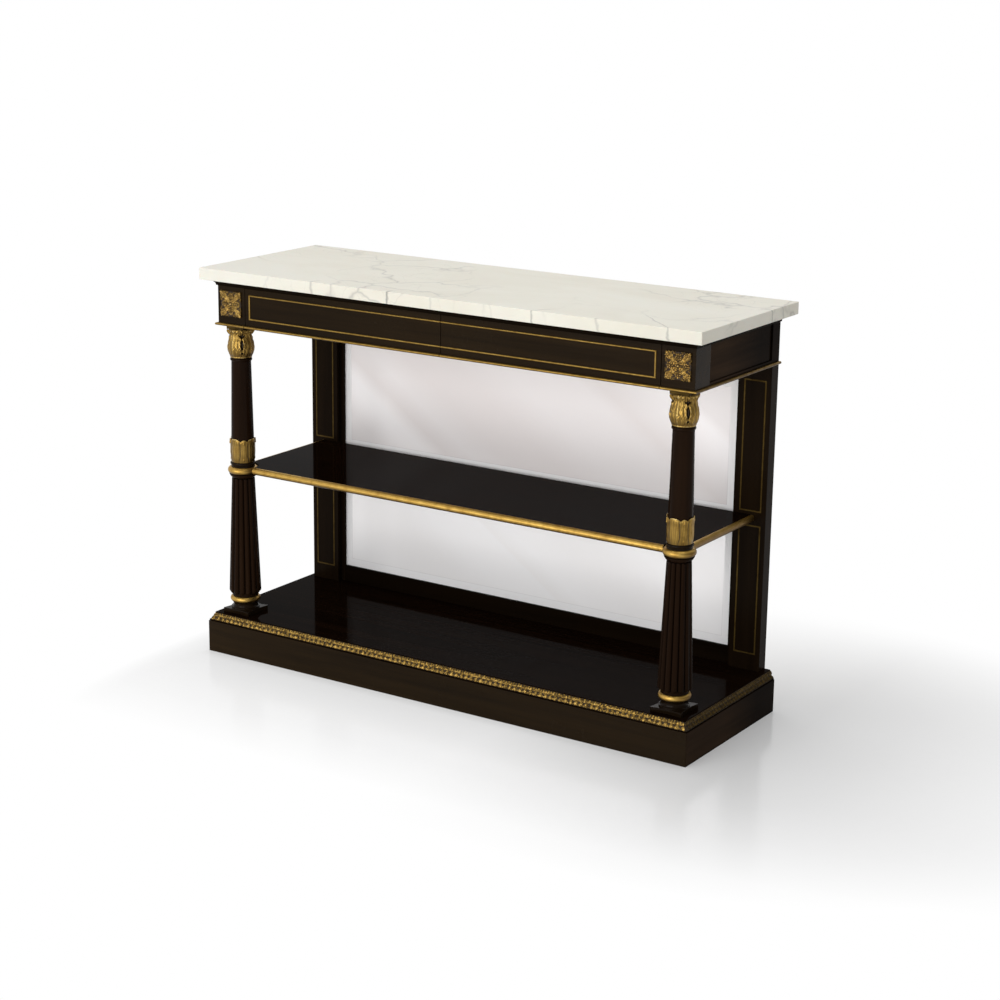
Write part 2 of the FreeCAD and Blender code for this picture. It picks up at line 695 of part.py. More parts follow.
def pilaster(side, screws):
    """Rear post, with the lip and rebate that hold the glass on its inner edge."""
    inner = HALF_WIDTH - REAR_BLOCK_WIDTH
    z0, z1 = BASE_TOP_Z, FRIEZE_BOTTOM_Z
    post = box(inner, HALF_WIDTH, PILASTER_FRONT_Y, BACK_Y, z0, z1)
    lip = box(SIGHT_HALF_WIDTH, inner, LIP_FRONT_Y, GLASS_FRONT_Y, z0, z1)
    cheek = box(GLASS_HALF_WIDTH, inner, GLASS_FRONT_Y, BACK_Y, z0, z1)
    whole = handed(side, join([post, lip, cheek]))
    return less(whole, string_frames(side, STRINGING_DEPTH, 0) + screws)


def back_rail(lip_z0, lip_z1, core_z0, core_z1):
    """A rail between the pilasters, its lips standing in front of the glass."""
    lip = box(-SIGHT_HALF_WIDTH, SIGHT_HALF_WIDTH, LIP_FRONT_Y, GLASS_FRONT_Y, lip_z0, lip_z1)
    core = box(-GLASS_HALF_WIDTH, GLASS_HALF_WIDTH, GLASS_FRONT_Y, BACK_Y, core_z0, core_z1)
    return join([lip, core])


def middle_rail(dowels):
    """The rail behind the shelf, as deep as the pilasters."""
    inner = HALF_WIDTH - REAR_BLOCK_WIDTH
    z0, z1 = SIGHT_LOWER[1], SIGHT_UPPER[0]
    facing = box(-inner, inner, PILASTER_FRONT_Y, LIP_FRONT_Y, z0, z1)
    return less(join([facing, back_rail(z0, z1, GLASS_LOWER[1], GLASS_UPPER[0])]), dowels)


def mirror_pane(extent):
    """A pane whose front face is ground to a shallow bevel all round."""
    back_y = GLASS_FRONT_Y + GLASS_THICKNESS
    half = GLASS_HALF_WIDTH - GLASS_PLAY
    z0, z1 = extent[0] + GLASS_PLAY, extent[1] - GLASS_PLAY
    arris_y = GLASS_FRONT_Y + BEVEL_DEPTH

    def outline(grow, y):
        x, low, high = half - grow, z0 + grow, z1 - grow
        corners = [Vector(-x, y, low), Vector(x, y, low), Vector(x, y, high), Vector(-x, y, high)]
        return Part.makePolygon(corners + corners[:1])

    bevelled = Part.makeLoft([outline(BEVEL_WIDTH, GLASS_FRONT_Y), outline(0, arris_y)], True, True)
    return join([bevelled, box(-half, half, arris_y, back_y, z0, z1)])


def backing_board(extent):
    y0 = GLASS_FRONT_Y + GLASS_THICKNESS
    half = GLASS_HALF_WIDTH - GLASS_PLAY
    return box(-half, half, y0, y0 + BACKING_THICKNESS, extent[0] + GLASS_PLAY, extent[1] - GLASS_PLAY)


def backing_beads(extent):
    """Pinned strips that keep the backing board in its rebate."""
    y0 = GLASS_FRONT_Y + GLASS_THICKNESS + BACKING_THICKNESS
    depth = BACK_Y - y0
    half = GLASS_HALF_WIDTH
    path = [(-half, extent[0]), (-half, extent[1]), (half, extent[1]), (half, extent[0])]
    profile = [(0, 0), (depth, 0), (0, depth)]
    return mitred_lengths(path, profile, lambda a, b, v: Vector(a, y0 + v, b), closed=True)


# ---------------------------------------------------------------- frieze
def bottom_moulding_path():
    return round_three_sides(HALF_WIDTH, FRONT_Y, BACK_Y)


def bottom_moulding_profile():
    """A half-round bead on a tongue let into the boards behind."""
    bead = MOULDING_HEIGHT / 2
    rounded = arc_points((MOULDING_PROJECTION - bead, bead), (bead, bead), -90, 90)
    return [(-MOULDING_REBATE, 0)] + rounded + [(-MOULDING_REBATE, MOULDING_HEIGHT)]


def frieze_moulding():
    """Four lengths: across each corner block, and along each side."""
    lengths = mitred_lengths(bottom_moulding_path(), bottom_moulding_profile(), plan(FRIEZE_BOTTOM_Z))
    inner = HALF_WIDTH - CORNER_BLOCK_WIDTH
    reach = MOULDING_PROJECTION + MOULDING_REBATE
    gap = box(-inner, inner, FRONT_Y - reach, FRONT_Y + reach, FRIEZE_BOTTOM_Z, SUB_TOP_Z)
    front = less(lengths[1], [gap]).Solids
    return [lengths[0], lengths[2]] + front


def moulding_rebate():
    """The rebate that all the frieze boards share for the bottom moulding."""
    depth = MOULDING_REBATE
    profile = [(-depth, 0), (depth, 0), (depth, MOULDING_HEIGHT), (-depth, MOULDING_HEIGHT)]
    return mitred_lengths(bottom_moulding_path(), profile, plan(FRIEZE_BOTTOM_Z))


def corner_block(side, screws):
    """Front block over a column: rod bore below, moulding rebate round its lower edge."""
    inner = HALF_WIDTH - CORNER_BLOCK_WIDTH
    rear = FRONT_Y + CORNER_BLOCK_DEPTH
    block = box(side * inner, side * HALF_WIDTH, FRONT_Y, rear, FRIEZE_BOTTOM_Z, SUB_TOP_Z)
    bore = cylinder(side * COLUMN_X, COLUMN_Y, FRIEZE_BOTTOM_Z, ROD_TOP_Z, ROD_RADIUS)
    return less(block, [bore] + moulding_rebate() + screws)


def rear_block(side, screws):
    inner = HALF_WIDTH - REAR_BLOCK_WIDTH
    block = box(side * inner, side * HALF_WIDTH, REAR_BLOCK_FRONT_Y, BACK_Y, FRIEZE_BOTTOM_Z, SUB_TOP_Z)
    return less(block, moulding_rebate() + screws)


def side_panel(side):
    """Recessed side of the frieze between the two blocks, flush with them along its foot."""
    outer = HALF_WIDTH - SIDE_PANEL_RECESS
    inner = outer - SIDE_PANEL_THICKNESS
    front, rear = FRONT_Y + CORNER_BLOCK_DEPTH, REAR_BLOCK_FRONT_Y
    field = box(side * inner, side * outer, front, rear, SIDE_PANEL_FOOT_Z, SUB_TOP_Z)
    foot = box(side * inner, side * HALF_WIDTH, front, rear, FRIEZE_BOTTOM_Z, SIDE_PANEL_FOOT_Z)
    return less(join([field, foot]), moulding_rebate())


def frieze_back():
    inner = HALF_WIDTH - REAR_BLOCK_WIDTH
    return box(-inner, inner, BACK_Y - FRIEZE_BACK_THICKNESS, BACK_Y, FRIEZE_BOTTOM_Z, SUB_TOP_Z)


def centre_partition():
    half = PARTITION_THICKNESS / 2
    rear = BACK_Y - FRIEZE_BACK_THICKNESS
    return box(-half, half, PARTITION_FRONT_Y, rear, FRIEZE_BOTTOM_Z, SUB_TOP_Z)


def runners_and_stops():
    """An outer runner with its guide, an inner runner and a stop for each drawer."""
    pieces = []
    rear = BACK_Y - FRIEZE_BACK_THICKNESS
    block_rear = FRONT_Y + CORNER_BLOCK_DEPTH
    block_inner = HALF_WIDTH - CORNER_BLOCK_WIDTH
    half = PARTITION_THICKNESS / 2
    low = FRIEZE_BOTTOM_Z
    for side, _ in SIDES:
        tread_x = DRAWER_OUTER_X - RUNNER_WIDTH
        tread = box(tread_x, block_inner, PARTITION_FRONT_Y, rear, low, RUNNER_TOP_Z)
        cleat = box(block_inner, GUIDE_OUTER_X, block_rear, REAR_BLOCK_FRONT_Y, low, RUNNER_TOP_Z)
        guide = box(GUIDE_INNER_X, GUIDE_OUTER_X, block_rear, REAR_BLOCK_FRONT_Y, RUNNER_TOP_Z, GUIDE_TOP_Z)
        pieces.append(handed(side, join([tread, cleat])))
        pieces.append(handed(side, guide))
        inner = box(half, half + RUNNER_WIDTH, PARTITION_FRONT_Y, rear, low, RUNNER_TOP_Z)
        pieces.append(handed(side, inner))
        middle = (DRAWER_INNER_GAP + DRAWER_OUTER_X) / 2
        stop_x = (middle - STOP_WIDTH / 2, middle + STOP_WIDTH / 2)
        stop = box(stop_x[0], stop_x[1], DRAWER_BACK_Y + CLEAR, rear, STOP_BOTTOM_Z, STOP_TOP_Z)
        pieces.append(handed(side, stop))
    return pieces


def sub_top(screws):
    """The board that ties the frieze together and carries the slab."""
    panel = box(-HALF_WIDTH, HALF_WIDTH, FRONT_Y, BACK_Y, SUB_TOP_Z, SLAB_BOTTOM_Z)
    return less(panel, screws)


def cove_moulding():
    """Hollow moulding under the slab, round the front and sides."""
    height = SLAB_BOTTOM_Z - SUB_TOP_Z
    run = COVE_PROJECTION - COVE_LIP
    rise = height - COVE_LIP_HEIGHT - COVE_TOP_FILLET
    hollow = arc_points((COVE_PROJECTION, COVE_LIP_HEIGHT), (run, rise), 180, 90)
    profile = [(0, 0), (COVE_LIP, 0)] + hollow + [(COVE_PROJECTION, height), (0, height)]
    return mitred_lengths(bottom_moulding_path(), profile, plan(SUB_TOP_Z))


def marble_top():
    half = TOP_WIDTH / 2
    return board(-half, half, -TOP_DEPTH / 2, TOP_DEPTH / 2, SLAB_BOTTOM_Z, HEIGHT, TOP_EDGE_EASE)


def corner_ornament(side):
    """Cast leaf mount: a plate with a boss, a ring of petals and a leaf in each corner."""
    x, z = side * COLUMN_X, ORNAMENT_CENTRE_Z
    half_w, half_h = ORNAMENT_WIDTH / 2, ORNAMENT_HEIGHT / 2
    plate_y = FRONT_Y - ORNAMENT_PLATE
    pieces = [box(x - half_w, x + half_w, plate_y, FRONT_Y, z - half_h, z + half_h)]

    def knob(u, v, radius):
        return Part.makeSphere(radius, Vector(x + u, plate_y + radius - ORNAMENT_RELIEF, z + v))

    pieces.append(knob(0, 0, ORNAMENT_BOSS))
    for k in range(ORNAMENT_PETALS):
        angle = 2 * math.pi * k / ORNAMENT_PETALS
        u, v = ORNAMENT_PETAL_RING * math.cos(angle), ORNAMENT_PETAL_RING * math.sin(angle)
        pieces.append(knob(u, v, ORNAMENT_PETAL))
    for su in (LEFT, RIGHT):
        for sv in (LEFT, RIGHT):
            u = su * (half_w - ORNAMENT_CORNER_INSET)
            v = sv * (half_h - ORNAMENT_CORNER_INSET)
            pieces.append(knob(u, v, ORNAMENT_CORNER_LEAF))
    behind = box(x - half_w, x + half_w, FRONT_Y, FRONT_Y + ORNAMENT_WIDTH, z - half_h, z + half_h)
    return less(join(pieces), [behind])


def assembly_screws():
    """Through the sub-top into each block, and up through the base panel into each pilaster."""
    screws = []
    for side, _ in SIDES:
        block_x = HALF_WIDTH - CORNER_BLOCK_WIDTH / 4
        inner_x = HALF_WIDTH - CORNER_BLOCK_WIDTH * 3 / 4
        rear_y = (REAR_BLOCK_FRONT_Y + BACK_Y) / 2
        post_y = (PILASTER_FRONT_Y + BACK_Y) / 2
        front_y = FRONT_Y + CORNER_BLOCK_DEPTH - BLOCK_SCREW_INSET
        for x in (block_x, inner_x):
            screws.append(screw(side * x, rear_y, SLAB_BOTTOM_Z))
            screws.append(screw(side * x, front_y, SLAB_BOTTOM_Z))
            screws.append(screw(side * x, post_y, PLINTH_HEIGHT, up=True))
    return screws


# ---------------------------------------------------------------- drawers
def drawer_front(side):
    """Front board, rebated below for its length of moulding and grooved for the bottom."""
    outer = HALF_WIDTH - CORNER_BLOCK_WIDTH - DRAWER_GAP
    rear = FRONT_Y + DRAWER_FRONT_THICKNESS
    front = box(DRAWER_GAP / 2, outer, FRONT_Y, rear, FRIEZE_BOTTOM_Z, DRAWER_FRONT_TOP_Z)
    inner_side = DRAWER_INNER_GAP + DRAWER_SIDE - DRAWER_GROOVE
    outer_side = DRAWER_OUTER_X - DRAWER_SIDE + DRAWER_GROOVE
    groove_top = DRAWER_BOTTOM_Z + DRAWER_BOTTOM_THICKNESS
    groove = box(inner_side, outer_side, rear - DRAWER_FRONT_GROOVE, rear, DRAWER_BOTTOM_Z, groove_top)
    return handed(side, less(front, [groove] + moulding_rebate()))


def drawer_moulding(side):
    outer = HALF_WIDTH - CORNER_BLOCK_WIDTH - DRAWER_GAP
    profile = bottom_moulding_profile()
    path = [(DRAWER_GAP / 2, FRONT_Y), (outer, FRONT_Y)]
    return handed(side, mitred_lengths(path, profile, plan(FRIEZE_BOTTOM_Z))[0])


def drawer_bead(side):
    """Gilt half-round on three sides of the front; the other drawer's bead completes it."""
    half = BEAD_WIDTH / 2
    x0, x1 = DRAWER_GAP / 2, BEAD_OUTER_X - half
    low, high = BEAD_BOTTOM_Z + half, BEAD_TOP_Z - half
    path = [(x0, low), (x1, low), (x1, high), (x0, high)]
    profile = arc_points((0, 0), (half, BEAD_RISE), 0, 180)
    lengths = mitred_lengths(path, profile, elevation(FRONT_Y))
    return [handed(side, length) for length in lengths]


def drawer_bottom(side):
    """Thin panel, let into the front and sides and running under the back."""
    x0 = DRAWER_INNER_GAP + DRAWER_SIDE - DRAWER_GROOVE
    x1 = DRAWER_OUTER_X - DRAWER_SIDE + DRAWER_GROOVE
    y0 = FRONT_Y + DRAWER_FRONT_THICKNESS - DRAWER_FRONT_GROOVE
    top = DRAWER_BOTTOM_Z + DRAWER_BOTTOM_THICKNESS
    return handed(side, box(x0, x1, y0, DRAWER_BACK_Y, DRAWER_BOTTOM_Z, top))


def drawer_box(side):
    """Two sides and a back."""
    y0 = FRONT_Y + DRAWER_FRONT_THICKNESS
    x0, x1 = DRAWER_INNER_GAP, DRAWER_OUTER_X
    groove = [handed(side, drawer_bottom(side))]
    inner_side = box(x0, x0 + DRAWER_SIDE, y0, DRAWER_BACK_Y, DRAWER_SIDE_BOTTOM_Z, DRAWER_SIDE_TOP_Z)
    outer_side = box(x1 - DRAWER_SIDE, x1, y0, DRAWER_BACK_Y, DRAWER_SIDE_BOTTOM_Z, DRAWER_SIDE_TOP_Z)
    back_z = DRAWER_BOTTOM_Z + DRAWER_BOTTOM_THICKNESS
    back_y = DRAWER_BACK_Y - DRAWER_SIDE
    back = box(x0 + DRAWER_SIDE, x1 - DRAWER_SIDE, back_y, DRAWER_BACK_Y, back_z, DRAWER_BACK_TOP_Z)
    sides = [less(inner_side, groove), less(outer_side, groove)]
    return [handed(side, piece) for piece in sides + [back]]


# ---------------------------------------------------------------- the assembly
def write_base(screws):
    save("plinth_front", plinth_front())
    save("plinth_back", plinth_back())
    save("plinth_glue_blocks", glue_blocks())
    save("base_panel", base_panel(screws))
    save("base_band", base_band())
    for side, name in SIDES:
        save("plinth_" + name, plinth_side(side))


def write_columns(dowels):
    shaft = lower_shaft()
    for side, name in SIDES:
        save("column_base_" + name, column_base(side))
        save("lower_shaft_" + name, shaft.translated(Vector(side * COLUMN_X, COLUMN_Y, 0)))
        save("lotus_collar_" + name, lotus_collar(side))
        save("upper_shaft_" + name, upper_shaft(side))
        save("capital_" + name, capital(side))
    save("base_torus_rings", at_columns(base_torus))
    save("mid_torus_rings", [less(ring, dowels) for ring in at_columns(mid_torus)])
    save("mid_drums", [less(drum, dowels) for drum in at_columns(mid_drum)])
    save("abacus_plates", at_columns(abacus))
    save("column_tie_rods", at_columns(tie_rod))


def write_shelf(dowels):
    save("shelf_board", shelf_board(dowels))
    save("shelf_nosing", shelf_nosing())
    save("shelf_dowels", dowels)


def write_back(screws, dowels):
    strings = []
    for side, name in SIDES:
        save("pilaster_" + name, pilaster(side, screws))
        strings += string_frames(side, STRINGING_DEPTH, STRINGING_PROUD)
    save("pilaster_stringing", strings)
    save("back_rail_bottom", back_rail(BASE_TOP_Z, SIGHT_LOWER[0], BASE_TOP_Z, GLASS_LOWER[0]))
    save("back_rail_middle", middle_rail(dowels))
    save("back_rail_top", back_rail(SIGHT_UPPER[1], FRIEZE_BOTTOM_Z, GLASS_UPPER[1], FRIEZE_BOTTOM_Z))
    save("mirror_lower", mirror_pane(GLASS_LOWER))
    save("mirror_upper", mirror_pane(GLASS_UPPER))
    backing = []
    for extent in (GLASS_LOWER, GLASS_UPPER):
        backing += [backing_board(extent)] + backing_beads(extent)
    save("backing_boards", backing)


def write_frieze(screws):
    for side, name in SIDES:
        save("corner_block_" + name, corner_block(side, screws))
        save("rear_block_" + name, rear_block(side, screws))
        save("side_panel_" + name, side_panel(side))
        save("corner_ornament_" + name, corner_ornament(side))
    save("frieze_back", frieze_back())
    save("centre_partition", centre_partition())
    save("drawer_runners", runners_and_stops())
    save("frieze_moulding", frieze_moulding())
    save("sub_top", sub_top(screws))
    save("cove_moulding", cove_moulding())
    save("marble_top", marble_top())


def write_drawers():
    for side, name in SIDES:
        save("drawer_" + name + "_front", drawer_front(side))
        save("drawer_" + name + "_bead", drawer_bead(side))
        save("drawer_" + name + "_moulding", drawer_moulding(side))
        save("drawer_" + name + "_box", drawer_box(side))
        save("drawer_" + name + "_bottom", drawer_bottom(side))


def main():
    os.makedirs("parts", exist_ok=True)
    screws = assembly_screws()
    dowels = shelf_dowels()
    write_base(screws)
    write_columns(dowels)
    write_shelf(dowels)
    write_back(screws, dowels)
    write_frieze(screws)
    write_drawers()
    save("assembly_screws", screws)


main()
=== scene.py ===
import math

import bpy
import numpy as np
from mathutils import Matrix, Vector

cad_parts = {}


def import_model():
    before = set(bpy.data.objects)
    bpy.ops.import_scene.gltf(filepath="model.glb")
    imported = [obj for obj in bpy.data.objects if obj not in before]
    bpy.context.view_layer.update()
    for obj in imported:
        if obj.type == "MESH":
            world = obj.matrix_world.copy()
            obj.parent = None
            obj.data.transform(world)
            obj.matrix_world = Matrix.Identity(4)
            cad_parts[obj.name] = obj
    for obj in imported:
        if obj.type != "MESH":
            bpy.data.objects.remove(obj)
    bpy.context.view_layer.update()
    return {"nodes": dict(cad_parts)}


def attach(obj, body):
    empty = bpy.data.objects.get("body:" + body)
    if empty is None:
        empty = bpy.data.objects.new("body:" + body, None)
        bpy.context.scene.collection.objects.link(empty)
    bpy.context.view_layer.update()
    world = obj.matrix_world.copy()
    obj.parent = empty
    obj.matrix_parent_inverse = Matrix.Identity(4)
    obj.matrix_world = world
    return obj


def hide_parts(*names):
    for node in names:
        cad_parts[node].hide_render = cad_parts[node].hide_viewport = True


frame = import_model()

MM = 0.001
NODES = frame["nodes"]
SIDES = ((-1, "left"), (1, "right"))

# Places in the CAD that the carving and the finishes follow, in millimetres.
PLINTH_HALF, PLINTH_FRONT, CASE_BACK = 606.0, -201.0, 179.0
BASE_INSET = 10.8
SLAB_FRONT = -203.2
FRIEZE_FRONT = -173.0
COLUMN = (546.0, -144.1)
GLASS_HALF = 505.0
LOWER_PANE, UPPER_PANE, PANE_SPLIT = (124.3, 402.0), (409.5, 700.5), 405.0


# ---------------------------------------------------------------- camera
def camera():
    """The photo's camera, solved from corners of the slab, frieze, shelf and plinth."""
    at = Vector((2.5124478, -3.7936866, 1.6359589))
    yaw, pitch, roll = -0.5785491, -0.2650397, 0.0125133
    focal_over_width = 2.221448
    ahead = Vector((math.sin(yaw) * math.cos(pitch), math.cos(yaw) * math.cos(pitch), math.sin(pitch)))
    right = Vector((math.cos(yaw), -math.sin(yaw), 0))
    up = right.cross(ahead)
    right_rolled = right * math.cos(roll) + up * math.sin(roll)
    up_rolled = up * math.cos(roll) - right * math.sin(roll)
    data = bpy.data.cameras.new("camera")
    data.sensor_width = 36.0
    data.lens = focal_over_width * data.sensor_width
    data.clip_end = 60
    cam = bpy.data.objects.new("camera", data)
    turn = Matrix((right_rolled, up_rolled, -ahead)).transposed().to_4x4()
    cam.matrix_world = Matrix.Translation(at) @ turn
    bpy.context.scene.collection.objects.link(cam)
    bpy.context.scene.camera = cam


camera()
bpy.context.scene.view_settings.view_transform = "Standard"


# ---------------------------------------------------------------- node helpers
class Tree:
    """The nodes of a material or of the world, with short calls for making and linking them."""

    def __init__(self, owner):
        self.owner = owner
        owner.use_nodes = True
        self.nodes = owner.node_tree.nodes
        self.links = owner.node_tree.links

    def node(self, kind, **settings):
        made = self.nodes.new(kind)
        for key, value in settings.items():
            setattr(made, key, value)
        return made

    def put(self, socket, value):
        if isinstance(value, bpy.types.NodeSocket):
            self.links.new(value, socket)
        else:
            socket.default_value = value

    def set(self, **values):
        """Values or links for the surface shader's sockets, with _ for the spaces in their names."""
        shader = self.nodes["Principled BSDF"]
        for key, value in values.items():
            self.put(shader.inputs[key.replace("_", " ")], value)

    def place(self, scale=1.0, offset=(0, 0, 0)):
        """Object coordinates times scale, which is one number or three, moved by offset."""
        coords = self.node("ShaderNodeTexCoord")
        mapping = self.node("ShaderNodeMapping")
        self.links.new(coords.outputs["Object"], mapping.inputs["Vector"])
        mapping.inputs["Scale"].default_value = scale if isinstance(scale, tuple) else (scale,) * 3
        mapping.inputs["Location"].default_value = offset
        return mapping.outputs["Vector"]

    def noise(self, scale, detail, rough, distort=0.0, offset=(0, 0, 0), out="Fac"):
        where = self.place(scale, offset)
        made = self.node("ShaderNodeTexNoise")
        self.put(made.inputs["Vector"], where)
        made.inputs["Scale"].default_value = 1.0
        made.inputs["Detail"].default_value = detail
        made.inputs["Roughness"].default_value = rough
        made.inputs["Distortion"].default_value = distort
        return made.outputs[out]

    def ramp(self, value, stops):
        made = self.node("ShaderNodeValToRGB")
        elements = made.color_ramp.elements
        while len(elements) < len(stops):
            elements.new(1.0)
        for element, (position, colour) in zip(elements, stops):
            element.position = position
            element.color = (*colour, 1)
        self.put(made.inputs["Fac"], value)
        return made.outputs["Color"]

    def grey(self, value, stops):
        return self.ramp(value, [(position, (tone, tone, tone)) for position, tone in stops])

    def math(self, operation, *values):
        made = self.node("ShaderNodeMath", operation=operation)
        for socket, value in zip(made.inputs, values):
            self.put(socket, value)
        return made.outputs[0]

    def mix(self, factor, a, b, blend="MIX"):
        made = self.node("ShaderNodeMix", data_type="RGBA", blend_type=blend)
        self.put(made.inputs[0], factor)
        for socket, value in ((made.inputs[6], a), (made.inputs[7], b)):
            self.put(socket, (*value, 1) if isinstance(value, tuple) else value)
        return made.outputs[2]

    def bump(self, height, strength, distance, normal=None):
        made = self.node("ShaderNodeBump")
        self.put(made.inputs["Height"], height)
        made.inputs["Strength"].default_value = strength
        made.inputs["Distance"].default_value = distance
        if normal is not None:
            self.put(made.inputs["Normal"], normal)
        return made.outputs["Normal"]

    def attribute(self, name):
        return self.node("ShaderNodeAttribute", attribute_name=name).outputs["Fac"]

    def parts(self, vector):
        made = self.node("ShaderNodeSeparateXYZ")
        self.links.new(vector, made.inputs[0])
        return made.outputs


def new_material(name):
    return Tree(bpy.data.materials.new(name))


def scaled(colour, by):
    return tuple(channel * by for channel in colour)


# ---------------------------------------------------------------- materials
GRAIN = {"x": (1.2, 26, 26), "y": (26, 1.2, 26), "z": (26, 26, 1.2)}
EBONY_DARK, EBONY_WARM = (0.0100, 0.0056, 0.0026), (0.0275, 0.0155, 0.0070)
CROWDED_WITHIN, SOFT_ARRIS = 0.008, 0.0011


def ebonised(name, grain, tone=1.0, gloss=0.05, roughness=0.22, red=1.0, blue=1.0, painted_crease_shade=0.0, rear_painted_shade=1.0,
             shine=(1.0, 1.0, 1.0)):
    """Black polish over reddish brown wood, its grain just showing.

    Painted shade darkens it where surfaces crowd together, by the given share, and painted shade towards the
    wall side leaves the given tone there.
    """
    t = new_material(name)
    figure = t.noise(GRAIN[grain], 6, 0.62, 0.4)
    cloud = t.noise(2.2, 3, 0.5)
    dark, warm = [(r * tone * red, g * tone, b * tone * blue) for r, g, b in (EBONY_DARK, EBONY_WARM)]
    wood = t.ramp(figure, [(0.30, dark), (0.72, warm)])
    colour = t.mix(t.grey(cloud, [(0.3, 0.0), (0.75, 0.6)]), wood, dark)
    # Painted shade in creases and grooves, from ambient occlusion.
    if painted_crease_shade:
        crowd = t.node("ShaderNodeAmbientOcclusion", samples=8)
        crowd.inputs["Distance"].default_value = CROWDED_WITHIN
        open_share = t.grey(crowd.outputs["AO"], [(0.35, 1 - painted_crease_shade), (0.92, 1.0)])
        colour = t.mix(1.0, colour, open_share, "MULTIPLY")
    # Painted shade, darker towards the wall side.
    if rear_painted_shade < 1:
        depth = t.math("ADD", t.parts(t.place())[1], 0.5)
        colour = t.mix(1.0, colour, t.grey(depth, [(0.46, 1.0), (0.60, rear_painted_shade)]), "MULTIPLY")
    t.set(Base_Color=colour)
    polish = t.noise(9, 4, 0.6)
    t.set(Roughness=t.grey(polish, [(0.25, roughness * 0.75), (0.8, roughness * 1.5)]))
    soft = t.node("ShaderNodeBevel", samples=4)
    soft.inputs["Radius"].default_value = SOFT_ARRIS
    skin = t.noise(60, 2, 0.5)
    normal = t.bump(skin, 0.035, 0.0006, soft.outputs["Normal"])
    t.set(Normal=t.bump(figure, 0.05, 0.0004, normal))
    t.set(Specular_IOR_Level=gloss, Specular_Tint=(*shine, 1))
    return t.owner


LEAF = ((0.25, (0.24, 0.135, 0.025)), (0.48, (0.38, 0.235, 0.052)), (0.78, (0.48, 0.315, 0.080)))
LEAF_DULL, LEAF_PAINTED_HIGHLIGHT, LEAF_PAINTED_SHADE = (0.30, 0.175, 0.045), (0.84, 0.64, 0.27), (0.060, 0.030, 0.010)
BOLE_AND_PAINTED_SHADE = (0.022, 0.012, 0.004)


def gilt(name, light, roughness, carved=False, metallic=0.92, tooth=0.05, speck=70, fleck=0.0):
    """Burnished leaf over brown bole. It has painted shade underneath and, where it is plain, on its flanks.

    Carved work is brown in the hollows, partly bole and partly painted shade, with a painted highlight on the
    crests, and fleck rubs spots of it bare.
    """
    t = new_material(name)
    spot = t.noise(speck, 5, 0.62)
    broad = t.noise(9, 3, 0.5)
    leaf = t.ramp(spot, [(at, scaled(colour, light)) for at, colour in LEAF])
    tint = t.mix(t.grey(broad, [(0.35, 0.0), (0.75, 0.35)]), leaf, scaled(LEAF_DULL, light))
    rough = t.grey(spot, [(0.25, roughness * 1.4), (0.7, roughness * 0.85)])
    if carved:
        height = t.attribute("relief")
        # Hollows take the bole colour: partly real bole, partly painted shade.
        tint = t.mix(t.grey(height, [(0.08, 0.0), (0.62, 1.0)]), BOLE_AND_PAINTED_SHADE, tint)
        # Crests take a painted highlight.
        tint = t.mix(t.grey(height, [(0.74, 0.0), (1.0, 0.55)]), tint, scaled(LEAF_PAINTED_HIGHLIGHT, light))
        t.set(Metallic=t.grey(height, [(0.05, 0.25), (0.45, metallic)]))
        if fleck:
            rubbed = t.noise(240, 2, 0.6, offset=(3, 1, 2))
            tint = t.mix(t.grey(rubbed, [(0.42, fleck), (0.56, 0.0)]), tint, BOLE_AND_PAINTED_SHADE)
    else:
        t.set(Metallic=metallic)
    facing = t.parts(t.node("ShaderNodeNewGeometry").outputs["Normal"])
    # Painted shade on surfaces facing down and, on plain gilt, on the flanks.
    painted_shade = scaled(LEAF_PAINTED_SHADE, light)
    under = t.grey(t.math("MULTIPLY_ADD", facing[2], 0.5, 0.5), [(0.15, 0.9), (0.52, 0.0)])
    tint = t.mix(under, tint, painted_shade)
    if not carved:
        flank = t.grey(t.math("ABSOLUTE", facing[0]), [(0.60, 0.0), (0.95, 0.72)])
        tint = t.mix(flank, tint, painted_shade)
    t.set(Base_Color=tint, Roughness=rough, Specular_IOR_Level=0.3)
    t.set(Normal=t.bump(spot, tooth, 0.0006))
    return t.owner


GROUND = ((0.3, (0.76, 0.725, 0.62)), (0.55, (0.81, 0.785, 0.69)), (0.75, (0.83, 0.81, 0.73)))
VEIN_GREY = (0.34, 0.33, 0.31)
SLAB_MIDDLE_Z = 0.851
CELL_STRENGTH = 0.48
# Veins over the front arris: where they cross (m), lean back to front, run on the top (m) and strength.
FRONT_VEINS = ((-0.306, 0.30, 0.030, 0.42), (-0.111, 0.12, 0.022, 0.85), (-0.005, 0.35, 0.030, 0.22),
               (0.139, 0.0, 0.012, 0.14), (0.234, 0.75, 0.050, 0.60), (0.383, 0.05, 0.010, 0.34),
               (0.538, -1.10, 0.110, 0.52))
# One vein crosses the right end: its place along Y and where it starts along X (m).
END_VEIN_Y, END_VEIN_FROM_X = 0.085, 0.585


def cell_lines(t, where, scale, stops):
    """Lines along the borders of irregular cells."""
    cells = t.node("ShaderNodeTexVoronoi", feature="DISTANCE_TO_EDGE")
    t.put(cells.inputs["Vector"], where)
    cells.inputs["Scale"].default_value = scale
    return t.grey(cells.outputs["Distance"], stops)


